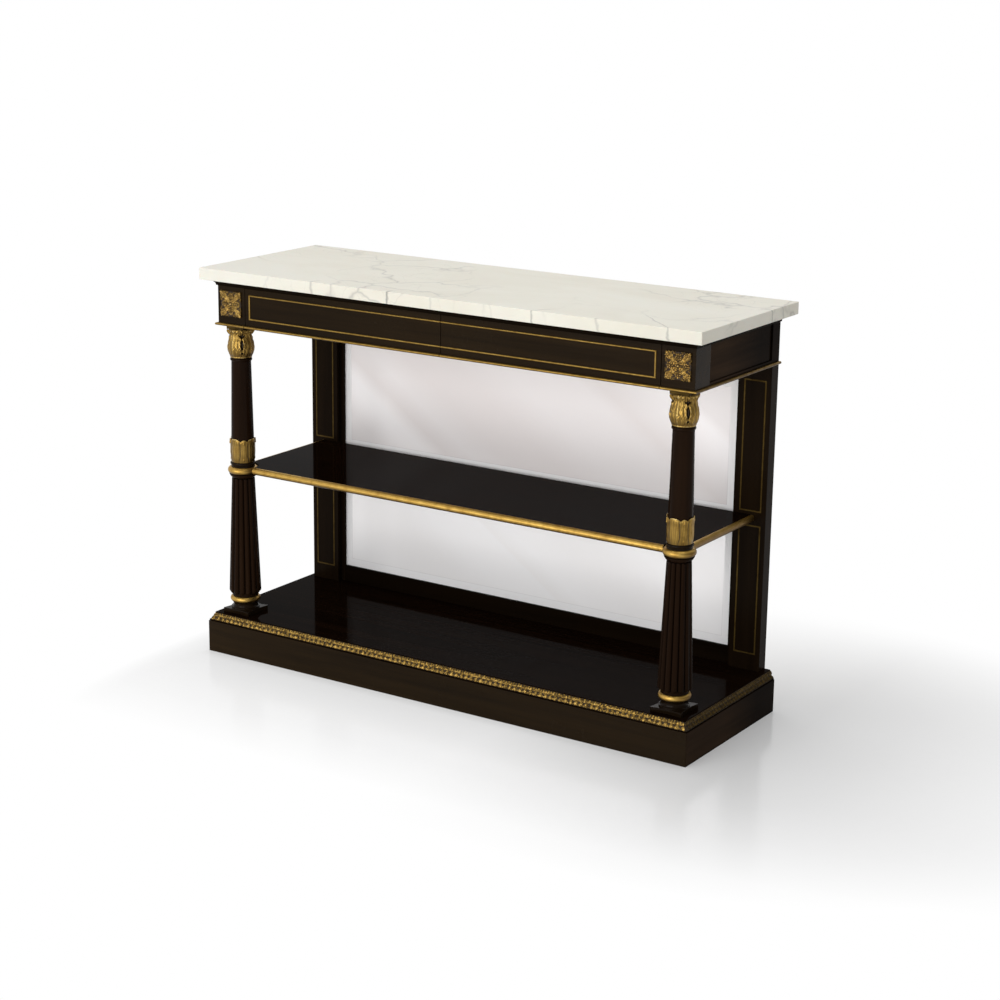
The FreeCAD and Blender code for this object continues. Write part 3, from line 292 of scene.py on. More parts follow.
def marble():
    """Warm white ground with soft clouds, faint hair veins and a few grey ones over the front arris."""
    t = new_material("marble_polished")
    warp = t.noise(2.4, 5, 0.6, out="Color")
    base = t.place()
    bend = t.node("ShaderNodeVectorMath", operation="MULTIPLY_ADD")
    t.put(bend.inputs[0], warp)
    bend.inputs[1].default_value = (0.34, 0.34, 0.34)
    t.put(bend.inputs[2], base)
    vein = cell_lines(t, bend.outputs[0], 6.5, [(0.0, 1.0), (0.016, 0.42), (0.042, 0.0)])
    patch = t.grey(t.noise(3.1, 3, 0.5, offset=(4, 2, 1)), [(0.47, 0.0), (0.60, 1.0)])
    hair = cell_lines(t, bend.outputs[0], 17, [(0.0, 0.35), (0.02, 0.0)])
    cloud = t.noise((3, 5, 3), 5, 0.6, 0.6)
    ground = t.ramp(cloud, GROUND)
    strongest = t.math("MAXIMUM", t.math("MULTIPLY", vein, patch), t.math("MULTIPLY", hair, patch))
    total = t.math("MULTIPLY", strongest, CELL_STRENGTH)
    x, y, z = t.parts(base)
    wander = t.math("MULTIPLY_ADD", t.noise(34, 3, 0.6), 0.020, -0.010)
    tilted = t.math("MULTIPLY_ADD", t.math("SUBTRACT", z, SLAB_MIDDLE_Z), 0.12, x)
    bent = t.math("ADD", tilted, wander)
    back = t.math("ADD", y, -SLAB_FRONT * MM)
    for at, lean, run, amount in FRONT_VEINS:
        off = t.math("ABSOLUTE", t.math("SUBTRACT", t.math("MULTIPLY_ADD", back, -lean, bent), at))
        line = t.grey(t.math("MULTIPLY", off, 100), [(0.06, amount), (0.40, 0.0)])
        end = t.grey(t.math("DIVIDE", back, run), [(0.5, 1.0), (1.0, 0.0)])
        total = t.math("MAXIMUM", total, t.math("MULTIPLY", line, end))
    across = t.math("ABSOLUTE", t.math("SUBTRACT", t.math("ADD", y, wander), END_VEIN_Y))
    crossing = t.grey(t.math("MULTIPLY", across, 100), [(0.04, 0.7), (0.25, 0.0)])
    crossing = t.math("MULTIPLY", crossing, t.math("GREATER_THAN", x, END_VEIN_FROM_X))
    total = t.math("MAXIMUM", total, crossing)
    t.set(Base_Color=t.mix(total, ground, VEIN_GREY))
    t.set(Roughness=t.grey(cloud, [(0.3, 0.36), (0.8, 0.46)]))
    t.set(Specular_IOR_Level=0.12, Subsurface_Weight=0.05, Subsurface_Scale=0.01)
    t.set(Normal=t.bump(cloud, 0.02, 0.0004))
    return t.owner


# Painted highlight on the bevel and painted shade along its inner edge.
BEVEL_PAINTED_HIGHLIGHT, ARRIS_PAINTED_SHADE, BEVEL_METAL = (1.0, 0.99, 0.99), (0.40, 0.38, 0.38), (0.12, 0.12, 0.12)
# Width of the ground bevel in tenths of a metre, as the ramps over it read it.
BEVEL = 0.200


def mirror_glass():
    """Old silvered glass given a pale colour as a painted reflection of white surroundings, with painted
    slanting bands of reflection, a lighter lower pane as painted light, and a painted highlight on the ground
    bevel edged by a painted dark line.

    It shines less just above the foot of each pane.
    """
    t = new_material("mirror_painted_reflection")
    x, _, z = t.parts(t.place())
    drift = t.noise(1.4, 2, 0.4)
    slant = t.math("ADD", t.math("MULTIPLY_ADD", x, 0.72, z), t.math("MULTIPLY_ADD", drift, 0.02, -0.01))
    # Tones of the painted reflection bands; those of the lower pane are lighter, as painted light.
    low, mid, high = (0.87, 0.82, 0.81), (0.91, 0.87, 0.865), (1.0, 0.97, 0.97)
    upper = t.ramp(slant, [
        (0.14, mid), (0.20, high), (0.230, high), (0.275, low), (0.33, mid), (0.40, low), (0.50, low),
        (0.60, mid), (0.73, mid), (0.770, low), (0.82, mid), (0.90, high), (0.93, mid), (1.0, mid),
    ])
    mid, high = (0.965, 0.945, 0.94), (1.0, 0.985, 0.985)
    lower_bands = [
        (-0.16, high), (-0.06, mid), (0.02, mid), (0.09, high), (0.195, high), (0.205, mid), (0.25, high),
        (0.35, mid), (0.42, mid), (0.50, high), (0.60, mid), (0.70, high),
    ]
    first, span = -0.2, 0.9
    shifted = t.math("MULTIPLY_ADD", slant, 1 / span, -first / span)
    lower = t.ramp(shifted, [((at - first) / span, tone) for at, tone in lower_bands])
    below = t.math("LESS_THAN", z, PANE_SPLIT * MM)
    glass = t.mix(below, upper, lower)
    nearest = t.math("SUBTRACT", GLASS_HALF * MM, t.math("ABSOLUTE", x))
    for level in (*LOWER_PANE, *UPPER_PANE):
        nearest = t.math("MINIMUM", nearest, t.math("ABSOLUTE", t.math("SUBTRACT", z, level * MM)))
    inset = t.math("MULTIPLY", nearest, 10)
    bevel = t.grey(inset, [(BEVEL, 1.0), (BEVEL + 0.015, 0.0)])
    glass = t.mix(bevel, glass, BEVEL_PAINTED_HIGHLIGHT)
    arris = t.grey(inset, [(BEVEL + 0.006, 0.0), (BEVEL + 0.013, 0.35), (BEVEL + 0.020, 0.0)])
    t.set(Base_Color=t.mix(arris, glass, ARRIS_PAINTED_SHADE))
    foot, upper_foot = LOWER_PANE[0] * MM, UPPER_PANE[0] * MM
    above_foot = t.math("MULTIPLY_ADD", below, upper_foot - foot, t.math("SUBTRACT", z, upper_foot))
    silvered = t.grey(t.math("MULTIPLY", above_foot, 5), [(0.15, 0.15), (0.60, 0.42)])
    silvered = t.math("MULTIPLY", silvered, t.math("MULTIPLY_ADD", below, 0.7, 1.0))
    t.set(Metallic=t.mix(bevel, silvered, BEVEL_METAL))
    t.set(Roughness=t.grey(drift, [(0.3, 0.46), (0.8, 0.52)]), Specular_IOR_Level=0.8)
    t.set(Normal=t.bump(drift, 0.02, 0.0005))
    return t.owner


def plain_wood(name, grain, dark, light):
    """Unpolished secondary timber with growth rings and pores."""
    t = new_material(name)
    rings = t.noise(GRAIN[grain], 7, 0.65, 0.8)
    pores = t.noise(scaled(GRAIN[grain], 6), 3, 0.5)
    middle = tuple((a + b) / 2 for a, b in zip(dark, light))
    tone = t.ramp(rings, [(0.3, dark), (0.55, middle), (0.75, light)])
    t.set(Base_Color=t.mix(t.grey(pores, [(0.55, 0.0), (0.72, 0.35)]), tone, dark))
    t.set(Roughness=t.grey(rings, [(0.3, 0.72), (0.8, 0.58)]), Specular_IOR_Level=0.3)
    t.set(Normal=t.bump(rings, 0.18, 0.0006))
    return t.owner


def steel():
    """Dulled steel with fine scratches and brown stains."""
    t = new_material("steel_dulled")
    scratch = t.noise((900, 900, 60), 3, 0.6)
    stain = t.noise(40, 4, 0.6)
    t.set(Base_Color=t.ramp(stain, [(0.3, (0.20, 0.17, 0.14)), (0.7, (0.42, 0.41, 0.40))]))
    t.set(Metallic=1.0, Roughness=t.grey(scratch, [(0.3, 0.34), (0.8, 0.55)]))
    t.set(Normal=t.bump(scratch, 0.08, 0.0003))
    return t.owner


BLACK_X = ebonised("ebonised_x", "x", blue=0.75)
# Side faces: a lighter copy of the front finish as painted light, with painted shade in creases and towards
# the wall side.
BLACK_Y = ebonised("ebonised_y", "y", tone=2.00, gloss=0.006, blue=1.15, painted_crease_shade=0.75, rear_painted_shade=0.26)
BLACK_TOP = ebonised("ebonised_tops", "x", tone=0.35, gloss=0.0022, roughness=0.07, red=1.25,
                     shine=(1.0, 0.80, 0.68))
# Pilasters and rails in the bay: darker tones as painted shade.
BLACK_BACK = ebonised("ebonised_back", "z", tone=0.55, gloss=0.02)
BLACK_RAIL = ebonised("ebonised_rail", "x", tone=0.30, gloss=0.02)
BLACK_TURNED = ebonised("ebonised_turned", "z", tone=0.60, gloss=0.030, roughness=0.14, red=1.2)
BLACK_REEDED = ebonised("ebonised_reeded", "z", tone=0.66, gloss=0.018, roughness=0.16, red=1.2, painted_crease_shade=0.92)
BLACK_DRUM = ebonised("ebonised_drum", "z", tone=0.60, gloss=0.050, roughness=0.11)
# The cove: a darker tone as painted shade under the slab's overhang.
BLACK_COVE = ebonised("ebonised_cove", "x", tone=0.40, gloss=0.01)
GILT = gilt("gilt_burnished", light=1.25, roughness=0.36)
GILT_CARVED = gilt("gilt_carved", light=0.88, roughness=0.30, carved=True)
GILT_BAND = gilt("gilt_band", light=0.95, roughness=0.36, carved=True, speck=170, fleck=0.85)
# The band's side lengths: a much darker copy of the band's gilt, as painted shade.
GILT_SIDE_PAINTED_SHADE = gilt("gilt_carved_painted_shade", light=0.28, roughness=0.42, carved=True, metallic=0.8, speck=170,
                 fleck=0.85)
GILT_CAST = gilt("gilt_cast", light=1.60, roughness=0.20, carved=True, speck=140, fleck=0.55)
GILT_LINE = gilt("gilt_line", light=0.75, roughness=0.40, tooth=0.02)
GILT_STRING = gilt("gilt_string", light=0.17, roughness=0.45, tooth=0.02)
MARBLE = marble()
MIRROR = mirror_glass()
PINE = plain_wood("pine_x", "x", (0.22, 0.12, 0.055), (0.50, 0.33, 0.17))
PINE_Y = plain_wood("pine_y", "y", (0.24, 0.13, 0.06), (0.52, 0.34, 0.18))
PINE_Z = plain_wood("pine_z", "z", (0.20, 0.11, 0.05), (0.46, 0.30, 0.16))
STEEL = steel()

FINISHES = {
    BLACK_X: ["plinth_front", "plinth_back", "frieze_back", "drawer_left_front", "drawer_right_front",
              "corner_block_left", "corner_block_right"],
    BLACK_COVE: ["cove_moulding"],
    BLACK_Y: ["plinth_left", "plinth_right", "side_panel_left", "side_panel_right",
              "rear_block_left", "rear_block_right"],
    BLACK_TOP: ["base_panel", "shelf_board"],
    BLACK_BACK: ["pilaster_left", "pilaster_right"],
    BLACK_RAIL: ["back_rail_bottom", "back_rail_middle", "back_rail_top"],
    BLACK_TURNED: ["upper_shaft_left", "upper_shaft_right"],
    BLACK_REEDED: ["lower_shaft_left", "lower_shaft_right"],
    BLACK_DRUM: ["mid_drums", "column_base_left", "column_base_right"],
    GILT: ["base_torus_rings", "mid_torus_rings", "shelf_nosing"],
    GILT_STRING: ["pilaster_stringing", "abacus_plates"],
    GILT_LINE: ["frieze_moulding", "drawer_left_moulding", "drawer_right_moulding",
                "drawer_left_bead", "drawer_right_bead"],
    MARBLE: ["marble_top"],
    MIRROR: ["mirror_lower", "mirror_upper"],
    PINE: ["backing_boards", "sub_top", "drawer_left_bottom", "drawer_right_bottom", "shelf_dowels"],
    PINE_Y: ["drawer_left_box", "drawer_right_box", "drawer_runners", "centre_partition"],
    PINE_Z: ["plinth_glue_blocks"],
    STEEL: ["column_tie_rods", "assembly_screws"],
}
for finish, names in FINISHES.items():
    for node_name in names:
        data = NODES[node_name].data
        if not data.materials:
            data.materials.append(finish)
        for index in range(len(data.materials)):
            data.materials[index] = finish


# ---------------------------------------------------------------- mesh helpers
def piece(name, points, faces, relief, finish, slot, stands_for=()):
    """One shown piece of the table from points in millimetres, with the relief that its gilding reads."""
    mesh = bpy.data.meshes.new(name)
    mesh.from_pydata((np.asarray(points, float) * MM).tolist(), [], faces)
    mesh.validate()
    mesh.update()
    layer = mesh.attributes.new("relief", "FLOAT", "POINT")
    layer.data.foreach_set("value", np.asarray(relief, np.float32))
    mesh.polygons.foreach_set("use_smooth", [True] * len(mesh.polygons))
    mesh.materials.append(finish)
    shown = bpy.data.objects.new(name, mesh)
    bpy.context.scene.collection.objects.link(shown)
    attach(shown, "table")
    if stands_for:
        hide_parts(*stands_for)


def grid_faces(rows, columns):
    """Quads over a grid of points stored row by row, the last column joined to the first."""
    faces = []
    for i in range(rows - 1):
        for j in range(columns):
            a = i * columns + j
            b = i * columns + (j + 1) % columns
            faces.append((a, b, b + columns, a + columns))
    return faces


def smoothstep(x, low, high):
    t = np.clip((x - low) / (high - low), 0, 1)
    return t * t * (3 - 2 * t)


def dome(distance):
    """A round hump: 1 in the middle, 0 where distance reaches 1."""
    return np.sqrt(np.clip(1 - distance ** 2, 0, 1))


def around(centre, angle, radius, z):
    """Points round an upright axis, their angles measured from the front."""
    return np.stack([centre[0] + radius * np.sin(angle), centre[1] - radius * np.cos(angle), z], -1)


def ring_piece(name, centre, bore, shape, turns, rows, stands_for):
    """A carved ring: shape(angle, z) gives radius, height and relief.

    bore lists radius and height up the inside, from the ring's foot to its top.
    """
    foot, top = bore[0][1], bore[-1][1]
    angle = np.linspace(0, 2 * np.pi, turns, endpoint=False)
    radius, height, relief = shape(*np.meshgrid(angle, np.linspace(foot, top, rows)))
    for r, level in reversed(bore):
        radius = np.concatenate([radius, np.full((1, turns), r)])
        height = np.concatenate([height, np.minimum(level, height[rows - 1:rows])])
        relief = np.concatenate([relief, np.full((1, turns), 0.1)])
    points = around(centre, np.broadcast_to(angle, radius.shape), radius, height).reshape(-1, 3)
    faces = grid_faces(len(radius), turns)
    last = (len(radius) - 1) * turns
    for j in range(turns):
        k = (j + 1) % turns
        faces.append((last + j, last + k, k, j))
    piece(name, points, faces, relief.reshape(-1), GILT_CARVED, "gilt_wood", stands_for)


# ---------------------------------------------------------------- base band
BAND_FOOT, BAND_REACH, BAND_RISE, BAND_EDGE = 74.0, 9.0, 14.0, 0.8
BAND_SLOPE = math.hypot(BAND_REACH - BAND_EDGE, BAND_RISE)
BAND_PITCH = 12.09
BAND_STEP, BAND_ROWS = 0.72, 27
BAND_SUNK, BAND_CREST = 1.6, 3.1
BAND_TOE, BAND_FRONT, BAND_HEEL = 9.4, 10.4, 0.2
BAND_DROP, BAND_TOP = -1.4, 16.4
MITRE_FADE, MITRE_MARGIN = 3, 16.0


def band_relief(s, t):
    """Height of the carving: a row of fat buds below, a groove, and a row of lobed leaves above."""
    near = ((s / BAND_PITCH + 0.5) % 1 - 0.5) * BAND_PITCH
    mid = ((s / BAND_PITCH) % 1 - 0.5) * BAND_PITCH
    bud = 3.2 * dome(np.hypot(near / 4.9, (t - 4.6) / 5.0)) * (0.78 + 0.22 * np.cos(near * 2.6))
    pip = 2.0 * dome(np.hypot(mid / 1.7, (t - 3.2) / 2.3))
    leaf_foot = 8.8
    reach, turn = np.hypot(mid, (t - leaf_foot) * 0.95), np.arctan2(mid, t - leaf_foot + 1e-9)
    edge = 6.2 + 1.3 * np.abs(np.cos(turn * 3))
    leaf = 2.9 * (0.45 + 0.55 * np.abs(np.cos(turn * 3))) * dome(reach / edge) ** 0.6 * (t > leaf_foot)
    stem = 2.6 * dome(np.hypot(mid / 1.3, (t - 11.0) / 3.2))
    spear = 2.5 * dome(np.hypot(near / 1.9, (t - 12.6) / 3.8))
    chased = 0.30 * np.abs(np.sin(s * 2.15 + 0.6 * np.sin(t * 0.9)) * np.sin(t * 1.7 + 0.35 * s))
    return np.maximum.reduce([bud, pip, leaf, stem, spear]) * (0.82 + chased)


def mitred(from_end, u):
    """Distance from a mitred end, drawn out with u so that the end lies on the mitre."""
    drawn = MITRE_MARGIN - (MITRE_MARGIN - from_end) * (MITRE_MARGIN + u) / MITRE_MARGIN
    return np.where(from_end < MITRE_MARGIN, drawn, from_end)


def band_length(name, place, run, both_mitred, finish, stands_for=()):
    """One carved length, mitred at its start or at both ends. place(s, u, z) gives the point."""
    along = np.linspace(0, run, int(run / BAND_STEP) + 1)
    across = np.linspace(0, BAND_SLOPE, BAND_ROWS)
    s, t = np.meshgrid(along, across, indexing="ij")
    height = band_relief(s - (run / 2 if both_mitred else 0), t)
    fade = smoothstep(s, 0, MITRE_FADE)
    if both_mitred:
        fade *= smoothstep(run - s, 0, MITRE_FADE)
    lift = height * fade - BAND_SUNK
    share = t / BAND_SLOPE
    nu, nv = BAND_RISE / BAND_SLOPE, (BAND_REACH - BAND_EDGE) / BAND_SLOPE
    u = BAND_REACH + (BAND_EDGE - BAND_REACH) * share + lift * nu
    v = np.clip(BAND_DROP + 15.9 * share + lift * nv, BAND_DROP, BAND_TOP)
    u = np.clip(u, BAND_HEEL, BAND_FRONT)
    u = np.where(v < 0, np.maximum(u, BAND_TOE), u)
    count = len(along)
    u = np.concatenate([np.full((count, 1), BAND_TOE), u, np.zeros((count, 2))], 1)
    v = np.concatenate([np.zeros((count, 1)), v, np.tile([BAND_RISE, 0.0], (count, 1))], 1)
    columns = u.shape[1]
    s_all = mitred(np.repeat(along[:, None], columns, 1), u)
    if both_mitred:
        tail = run - s_all
        s_all = np.where(tail < MITRE_MARGIN, run - mitred(tail, u), s_all)
    points = place(s_all, u, BAND_FOOT + v).reshape(-1, 3)
    faces = grid_faces(count, columns)
    faces.append(tuple(range(columns)))
    faces.append(tuple(reversed(range((count - 1) * columns, count * columns))))
    relief = np.clip(height * fade / BAND_CREST, 0, 1)
    relief = np.concatenate([np.zeros((count, 1)), relief, np.zeros((count, 2))], 1)
    piece(name, points, faces, relief.reshape(-1), finish, "gilt_wood", stands_for)


def base_band():
    """u runs outwards from the panel's edge, and s along it from a mitred front corner."""
    half, front = PLINTH_HALF - BASE_INSET, PLINTH_FRONT + BASE_INSET
    band_length("base_band_front", lambda s, u, z: np.stack([s - half, front - u, z], -1),
                2 * half, True, GILT_BAND, stands_for=["base_band"])
    for side, name in SIDES:
        band_length("base_band_" + name, lambda s, u, z: np.stack([side * (half + u), front + s, z], -1),
                    CASE_BACK - front, False, GILT_SIDE_PAINTED_SHADE)


base_band()


# ---------------------------------------------------------------- capitals and collars
def curve(z, stations):
    """A smooth radius through (z, r) stations."""
    zs, rs = np.array(stations).T
    slope = np.gradient(rs, zs)
    k = np.clip(np.searchsorted(zs, z) - 1, 0, len(zs) - 2)
    span = zs[k + 1] - zs[k]
    t = np.clip((z - zs[k]) / span, 0, 1)
    a, b, ma, mb = rs[k], rs[k + 1], slope[k] * span, slope[k + 1] * span
    return (a * (2 * t ** 3 - 3 * t ** 2 + 1) + ma * (t ** 3 - 2 * t ** 2 + t)
            + b * (3 * t ** 2 - 2 * t ** 3) + mb * (t ** 3 - t ** 2))


def quarters(angle):
    """Signed angle from the nearest face, and the angle left to the nearest diagonal."""
    quarter = np.pi / 2
    from_face = (angle + quarter / 2) % quarter - quarter / 2
    return from_face, quarter / 2 - np.abs(from_face)


CAPITAL_FOOT, CAPITAL_TOP, ROD_BORE = 667.0, 730.0, 4.8
CAPITAL_LINE = [(CAPITAL_FOOT, 22.6), (670, 23.8), (676, 26.4), (684, 28.2), (690, 28.5), (698, 27.7),
                (708, 25.6), (716, 24.3), (722, 24.1), (727, 24.8), (CAPITAL_TOP, 25.4)]
DIAMOND_Z, SLIT_TOP, SLIT_FOOT, DOT_Z = 716.8, 709.0, 684.0, 679.0
FOOT_RING_Z, LEAF_TIPS_Z = 668.6, 725.5


def capital_shape(angle, z):
    """Four broad veined leaves that meet on the diagonals, open there in a diamond, a slit and a dot."""
    line = curve(z, CAPITAL_LINE)
    from_face, from_gap = quarters(angle)
    arc = from_gap * line
    t = (z - CAPITAL_FOOT) / (CAPITAL_TOP - CAPITAL_FOOT)
    across = from_face / (np.pi / 4)
    spread = np.abs(across)
    which = np.floor((angle + np.pi / 4) / (np.pi / 2))
    waver = 0.20 * np.sin(z * 0.17 + 1.9 * np.sign(across) + which) + 0.09 * np.sin(z * 0.52 + 2.3 * which)
    narrow = (0.35 + 0.65 * np.sin(np.pi * np.clip(t * 0.92 + 0.06, 0, 1))) ** 0.35
    vein = np.cos((across + waver * spread) * np.pi * 4.5 / narrow)
    fork = np.cos((across - 0.6 * waver) * np.pi * 9.0 / narrow + 0.20 * z)
    ribs = (0.30 * vein + 0.22 * fork) * (1 - smoothstep(spread, 0.84, 0.98)) * smoothstep(t, 0.03, 0.16)
    ribs *= 1 - 0.5 * smoothstep(t, 0.8, 0.95)
    midrib = 0.7 * np.exp(-(across * 9) ** 2) * smoothstep(t, 0.05, 0.2)
    lobes = 0.9 * np.sin(z * 0.62 + 1.0) * smoothstep(spread, 0.50, 0.85)
    diamond = np.clip(1 - (arc / 7.4 + np.abs(z - DIAMOND_Z) / 7.8), 0, 1)
    up_slit = np.clip((z - SLIT_FOOT) / (SLIT_TOP - SLIT_FOOT), 0, 1)
    slit_width = 3.3 * np.sin(np.pi * up_slit) ** 0.8 + 0.01
    slit = np.where((z > SLIT_FOOT) & (z < SLIT_TOP), np.clip(1.25 - arc / slit_width, 0, 1), 0)
    dot = np.clip(1.2 - np.hypot(arc, z - DOT_Z) / 2.3, 0, 1)
    gap = np.clip(1.8 * np.maximum.reduce([diamond, slit, dot]), 0, 1)
    seam = np.exp(-(arc / 0.7) ** 2) * (1 - smoothstep(t, 0.93, 0.99)) * smoothstep(t, 0.04, 0.1)
    rim = np.exp(-((arc - 3.9) / 1.3) ** 2) * smoothstep(t, 0.1, 0.25) * (1 - smoothstep(t, 0.78, 0.9))
    foot = dome((z - FOOT_RING_Z) / 1.6)
    tips = 1.3 * dome((z - LEAF_TIPS_Z) / 3.0) * (0.35 + 0.65 * np.abs(np.cos(from_face * 8)))
    radius = line + ribs + midrib + lobes * 0.15 + 0.8 * rim + 0.7 * foot + tips - 4.2 * gap - 1.2 * seam
    # In the relief that colours the gilt, the openings and seams are set dark as painted shade, and the
    # leaves just under the abacus darker.
    relief = 0.52 + 0.14 * vein + 0.10 * fork + 0.18 * rim + 0.16 * np.exp(-(across * 9) ** 2)
    relief = relief + 0.16 * lobes + 0.3 * foot + 0.2 * tips - 0.25 * smoothstep(t, 0.86, 0.96) * (1 - tips)
    relief = np.clip(relief * (1 - gap) * (1 - 0.75 * seam), 0, 1)
    return radius, z, np.where(gap > 0.25, 0.0, relief)


COLLAR_FOOT, COLLAR_TOP, COLLAR_LOWEST_RIM = 435.0, 490.0, 480.0
COLLAR_LINE = [(COLLAR_FOOT, 25.0), (438, 25.6), (446, 26.3), (455, 26.7), (466, 26.6), (476, 26.6),
               (484, 27.0), (COLLAR_TOP, 27.2)]
# Radius and height up the inside: the narrow bore, then the wider mouth above it.
COLLAR_BORE = ((22.7, COLLAR_FOOT), (22.7, 477.8), (24.98, 478.0), (24.98, COLLAR_TOP))
COLLAR_LEAST_RADIUS = 25.25


def collar_shape(angle, z):
    """Cup of four broad leaves on the faces and four narrow ones between, its rim following their tips."""
    line = curve(z, COLLAR_LINE)
    from_face, from_gap = quarters(angle)
    deg, gap = np.degrees(from_face), np.degrees(from_gap)
    depth = COLLAR_TOP - COLLAR_FOOT
    t = (z - COLLAR_FOOT) / depth
    broad = 26.0 - 3.0 * smoothstep(t, 0.75, 1.0) - 7.0 * (1 - smoothstep(t, 0.0, 0.3))
    seam = np.exp(-((np.abs(deg) - broad) / 1.7) ** 2)
    rib = np.clip(sum(np.exp(-((deg - at * broad / 27) / 2.4) ** 2) for at in (-16, -5.5, 5.5, 16)), 0, 1)
    rib = rib * smoothstep(t, 0.08, 0.22) * (1 - smoothstep(t, 0.84, 0.94))
    narrow = dome(gap / (12 - 3 * t)) * smoothstep(t, 0.18, 0.4)
    spine = np.exp(-(gap / 1.5) ** 2) * smoothstep(t, 0.3, 0.45)
    dart = np.clip(1 - (gap / 5.5 + np.abs(z - 442.5) / 6.0), 0, 1)
    lip = smoothstep(t, 0.90, 0.99)
    radius = line + 0.55 * rib + 0.5 * narrow + 0.3 * spine - 0.6 * seam + 1.1 * dart - 0.5 * lip
    turn = np.degrees(angle)
    streak = 0.11 * np.sin(turn * 1.35 + 0.06 * z) + 0.07 * np.sin(turn * 0.62 - 0.11 * z)
    # In the relief that colours the gilt, seams are set dark as painted shade, and the rim and darts bright
    # as painted highlights.
    relief = 0.44 + 0.24 * rib + 0.06 * narrow + 0.16 * spine - 0.40 * seam + 0.40 * dart + streak + 0.3 * lip
    rim = np.maximum(487.6 - 2.4 * (np.abs(deg) / 22.5) ** 3, 486.8 - 2.6 * (gap / 11.0) ** 1.5)
    rise = np.maximum(rim, COLLAR_LOWEST_RIM) - COLLAR_FOOT
    height = COLLAR_FOOT + (z - COLLAR_FOOT) * rise / depth
    return np.maximum(radius, COLLAR_LEAST_RADIUS), height, np.clip(relief, 0, 1)


def tube(line, radii, sides):
    """Points and faces of a closed, round tube along a line, its ends drawn in."""
    ahead = np.gradient(line, axis=0)
    ahead /= np.linalg.norm(ahead, axis=1)[:, None]
    side = np.cross(ahead, np.array([0.13, 0.21, 1.0]))
    side /= np.linalg.norm(side, axis=1)[:, None]
    up = np.cross(side, ahead)
    turn = np.linspace(0, 2 * np.pi, sides, endpoint=False)
    rings = (line[:, None] + radii[:, None, None] * (side[:, None] * np.cos(turn)[None, :, None]
                                                     + up[:, None] * np.sin(turn)[None, :, None]))
    count = len(line)
    faces = [tuple(reversed(face)) for face in grid_faces(count, sides)]
    points = np.concatenate([rings.reshape(-1, 3), line[:1], line[-1:]])
    first, last = count * sides, count * sides + 1
    for j in range(sides):
        k = (j + 1) % sides
        faces.append((first, j, k))
        faces.append((last, (count - 1) * sides + k, (count - 1) * sides + j))
    return points, faces


def strand(centre, angle, radius, z, thickness, relief, sides=8):
    """A tube along a line given round a column's axis, with its relief."""
    line = around(centre, *np.broadcast_arrays(angle, radius, z))
    return *tube(line, thickness, sides), relief


def gather(parts):
    """Several (points, faces, relief) sets as one."""
    points, faces, relief, start = [], [], [], 0
    for p, f, r in parts:
        points.append(p)
        relief.append(np.broadcast_to(r, len(p)))
        faces += [tuple(i + start for i in face) for face in f]
        start += len(p)
    return np.concatenate(points), faces, np.concatenate(relief)


def collar_tips(centre):
    """Thin rolled rims of the broad leaves and the pointed tips of the narrow ones."""
    parts = []
    a = np.linspace(-1, 1, 33)
    b = np.linspace(0, 1, 11)
    c = np.linspace(0, 1, 7)
    for k in range(4):
        face = k * np.pi / 2
        diagonal = face + np.pi / 4
        parts.append(strand(centre, face + np.radians(21.5) * a, 27.0 + 0.9 * (1 - np.abs(a) ** 2),
                            487.4 - 2.2 * np.abs(a) ** 3, 0.35 + 0.95 * (1 - np.abs(a) ** 3), 1.0, sides=10))
        parts.append(strand(centre, diagonal, 26.9 + 0.8 * b, 476 + 10.2 * b,
                            2.2 * (1 - b) ** 0.7 + 0.2, 0.62))
        parts.append(strand(centre, diagonal, 27.6, 484.6 + 2.2 * c,
                            1.1 * np.sin(np.pi * c) ** 0.5 + 0.1, 0.95))
    return gather(parts)


def capital_curls(centre):
    """Small curled leaves under the corners of the abacus, and upright ones between them."""
    parts = []
    b = np.linspace(0, 1, 17)
    c = np.linspace(0, 1, 9)
    turn = b * 1.6 * np.pi
    for k in range(4):
        face = k * np.pi / 2
        diagonal = face + np.pi / 4
        parts.append(strand(centre, diagonal, 24.0 + 6.6 * b ** 0.8 + 1.5 * np.sin(turn),
                            719.5 + 8.6 * np.sin(b * np.pi * 0.62), 2.3 - 1.1 * b, 0.75, sides=10))
        for off in (-1, 1):
            parts.append(strand(centre, diagonal + off * np.radians(10) * (1 - 0.6 * b), 23.8 + 4.6 * b,
                                718 + 9.0 * np.sin(b * 1.7), 1.7 - 0.8 * b, 0.6))
        for off in np.radians((-29, -15, 0, 15, 29)):
            parts.append(strand(centre, face + off, 24.4 + 1.6 * c ** 2, 719 + 9.5 * c,
                                1.5 * (1 - 0.5 * c), 0.45))
    return gather(parts)


for side, name in SIDES:
    centre = (side * COLUMN[0], COLUMN[1])
    capital_bore = ((ROD_BORE, CAPITAL_FOOT), (ROD_BORE, CAPITAL_TOP))
    ring_piece("capital_carved_" + name, centre, capital_bore, capital_shape, 320, 150, ["capital_" + name])
    piece("capital_curls_" + name, *capital_curls(centre), GILT_CARVED, "gilt_wood")
    ring_piece("collar_carved_" + name, centre, COLLAR_BORE, collar_shape, 288, 100, ["lotus_collar_" + name])
    piece("collar_tips_" + name, *collar_tips(centre), GILT_CARVED, "gilt_wood")


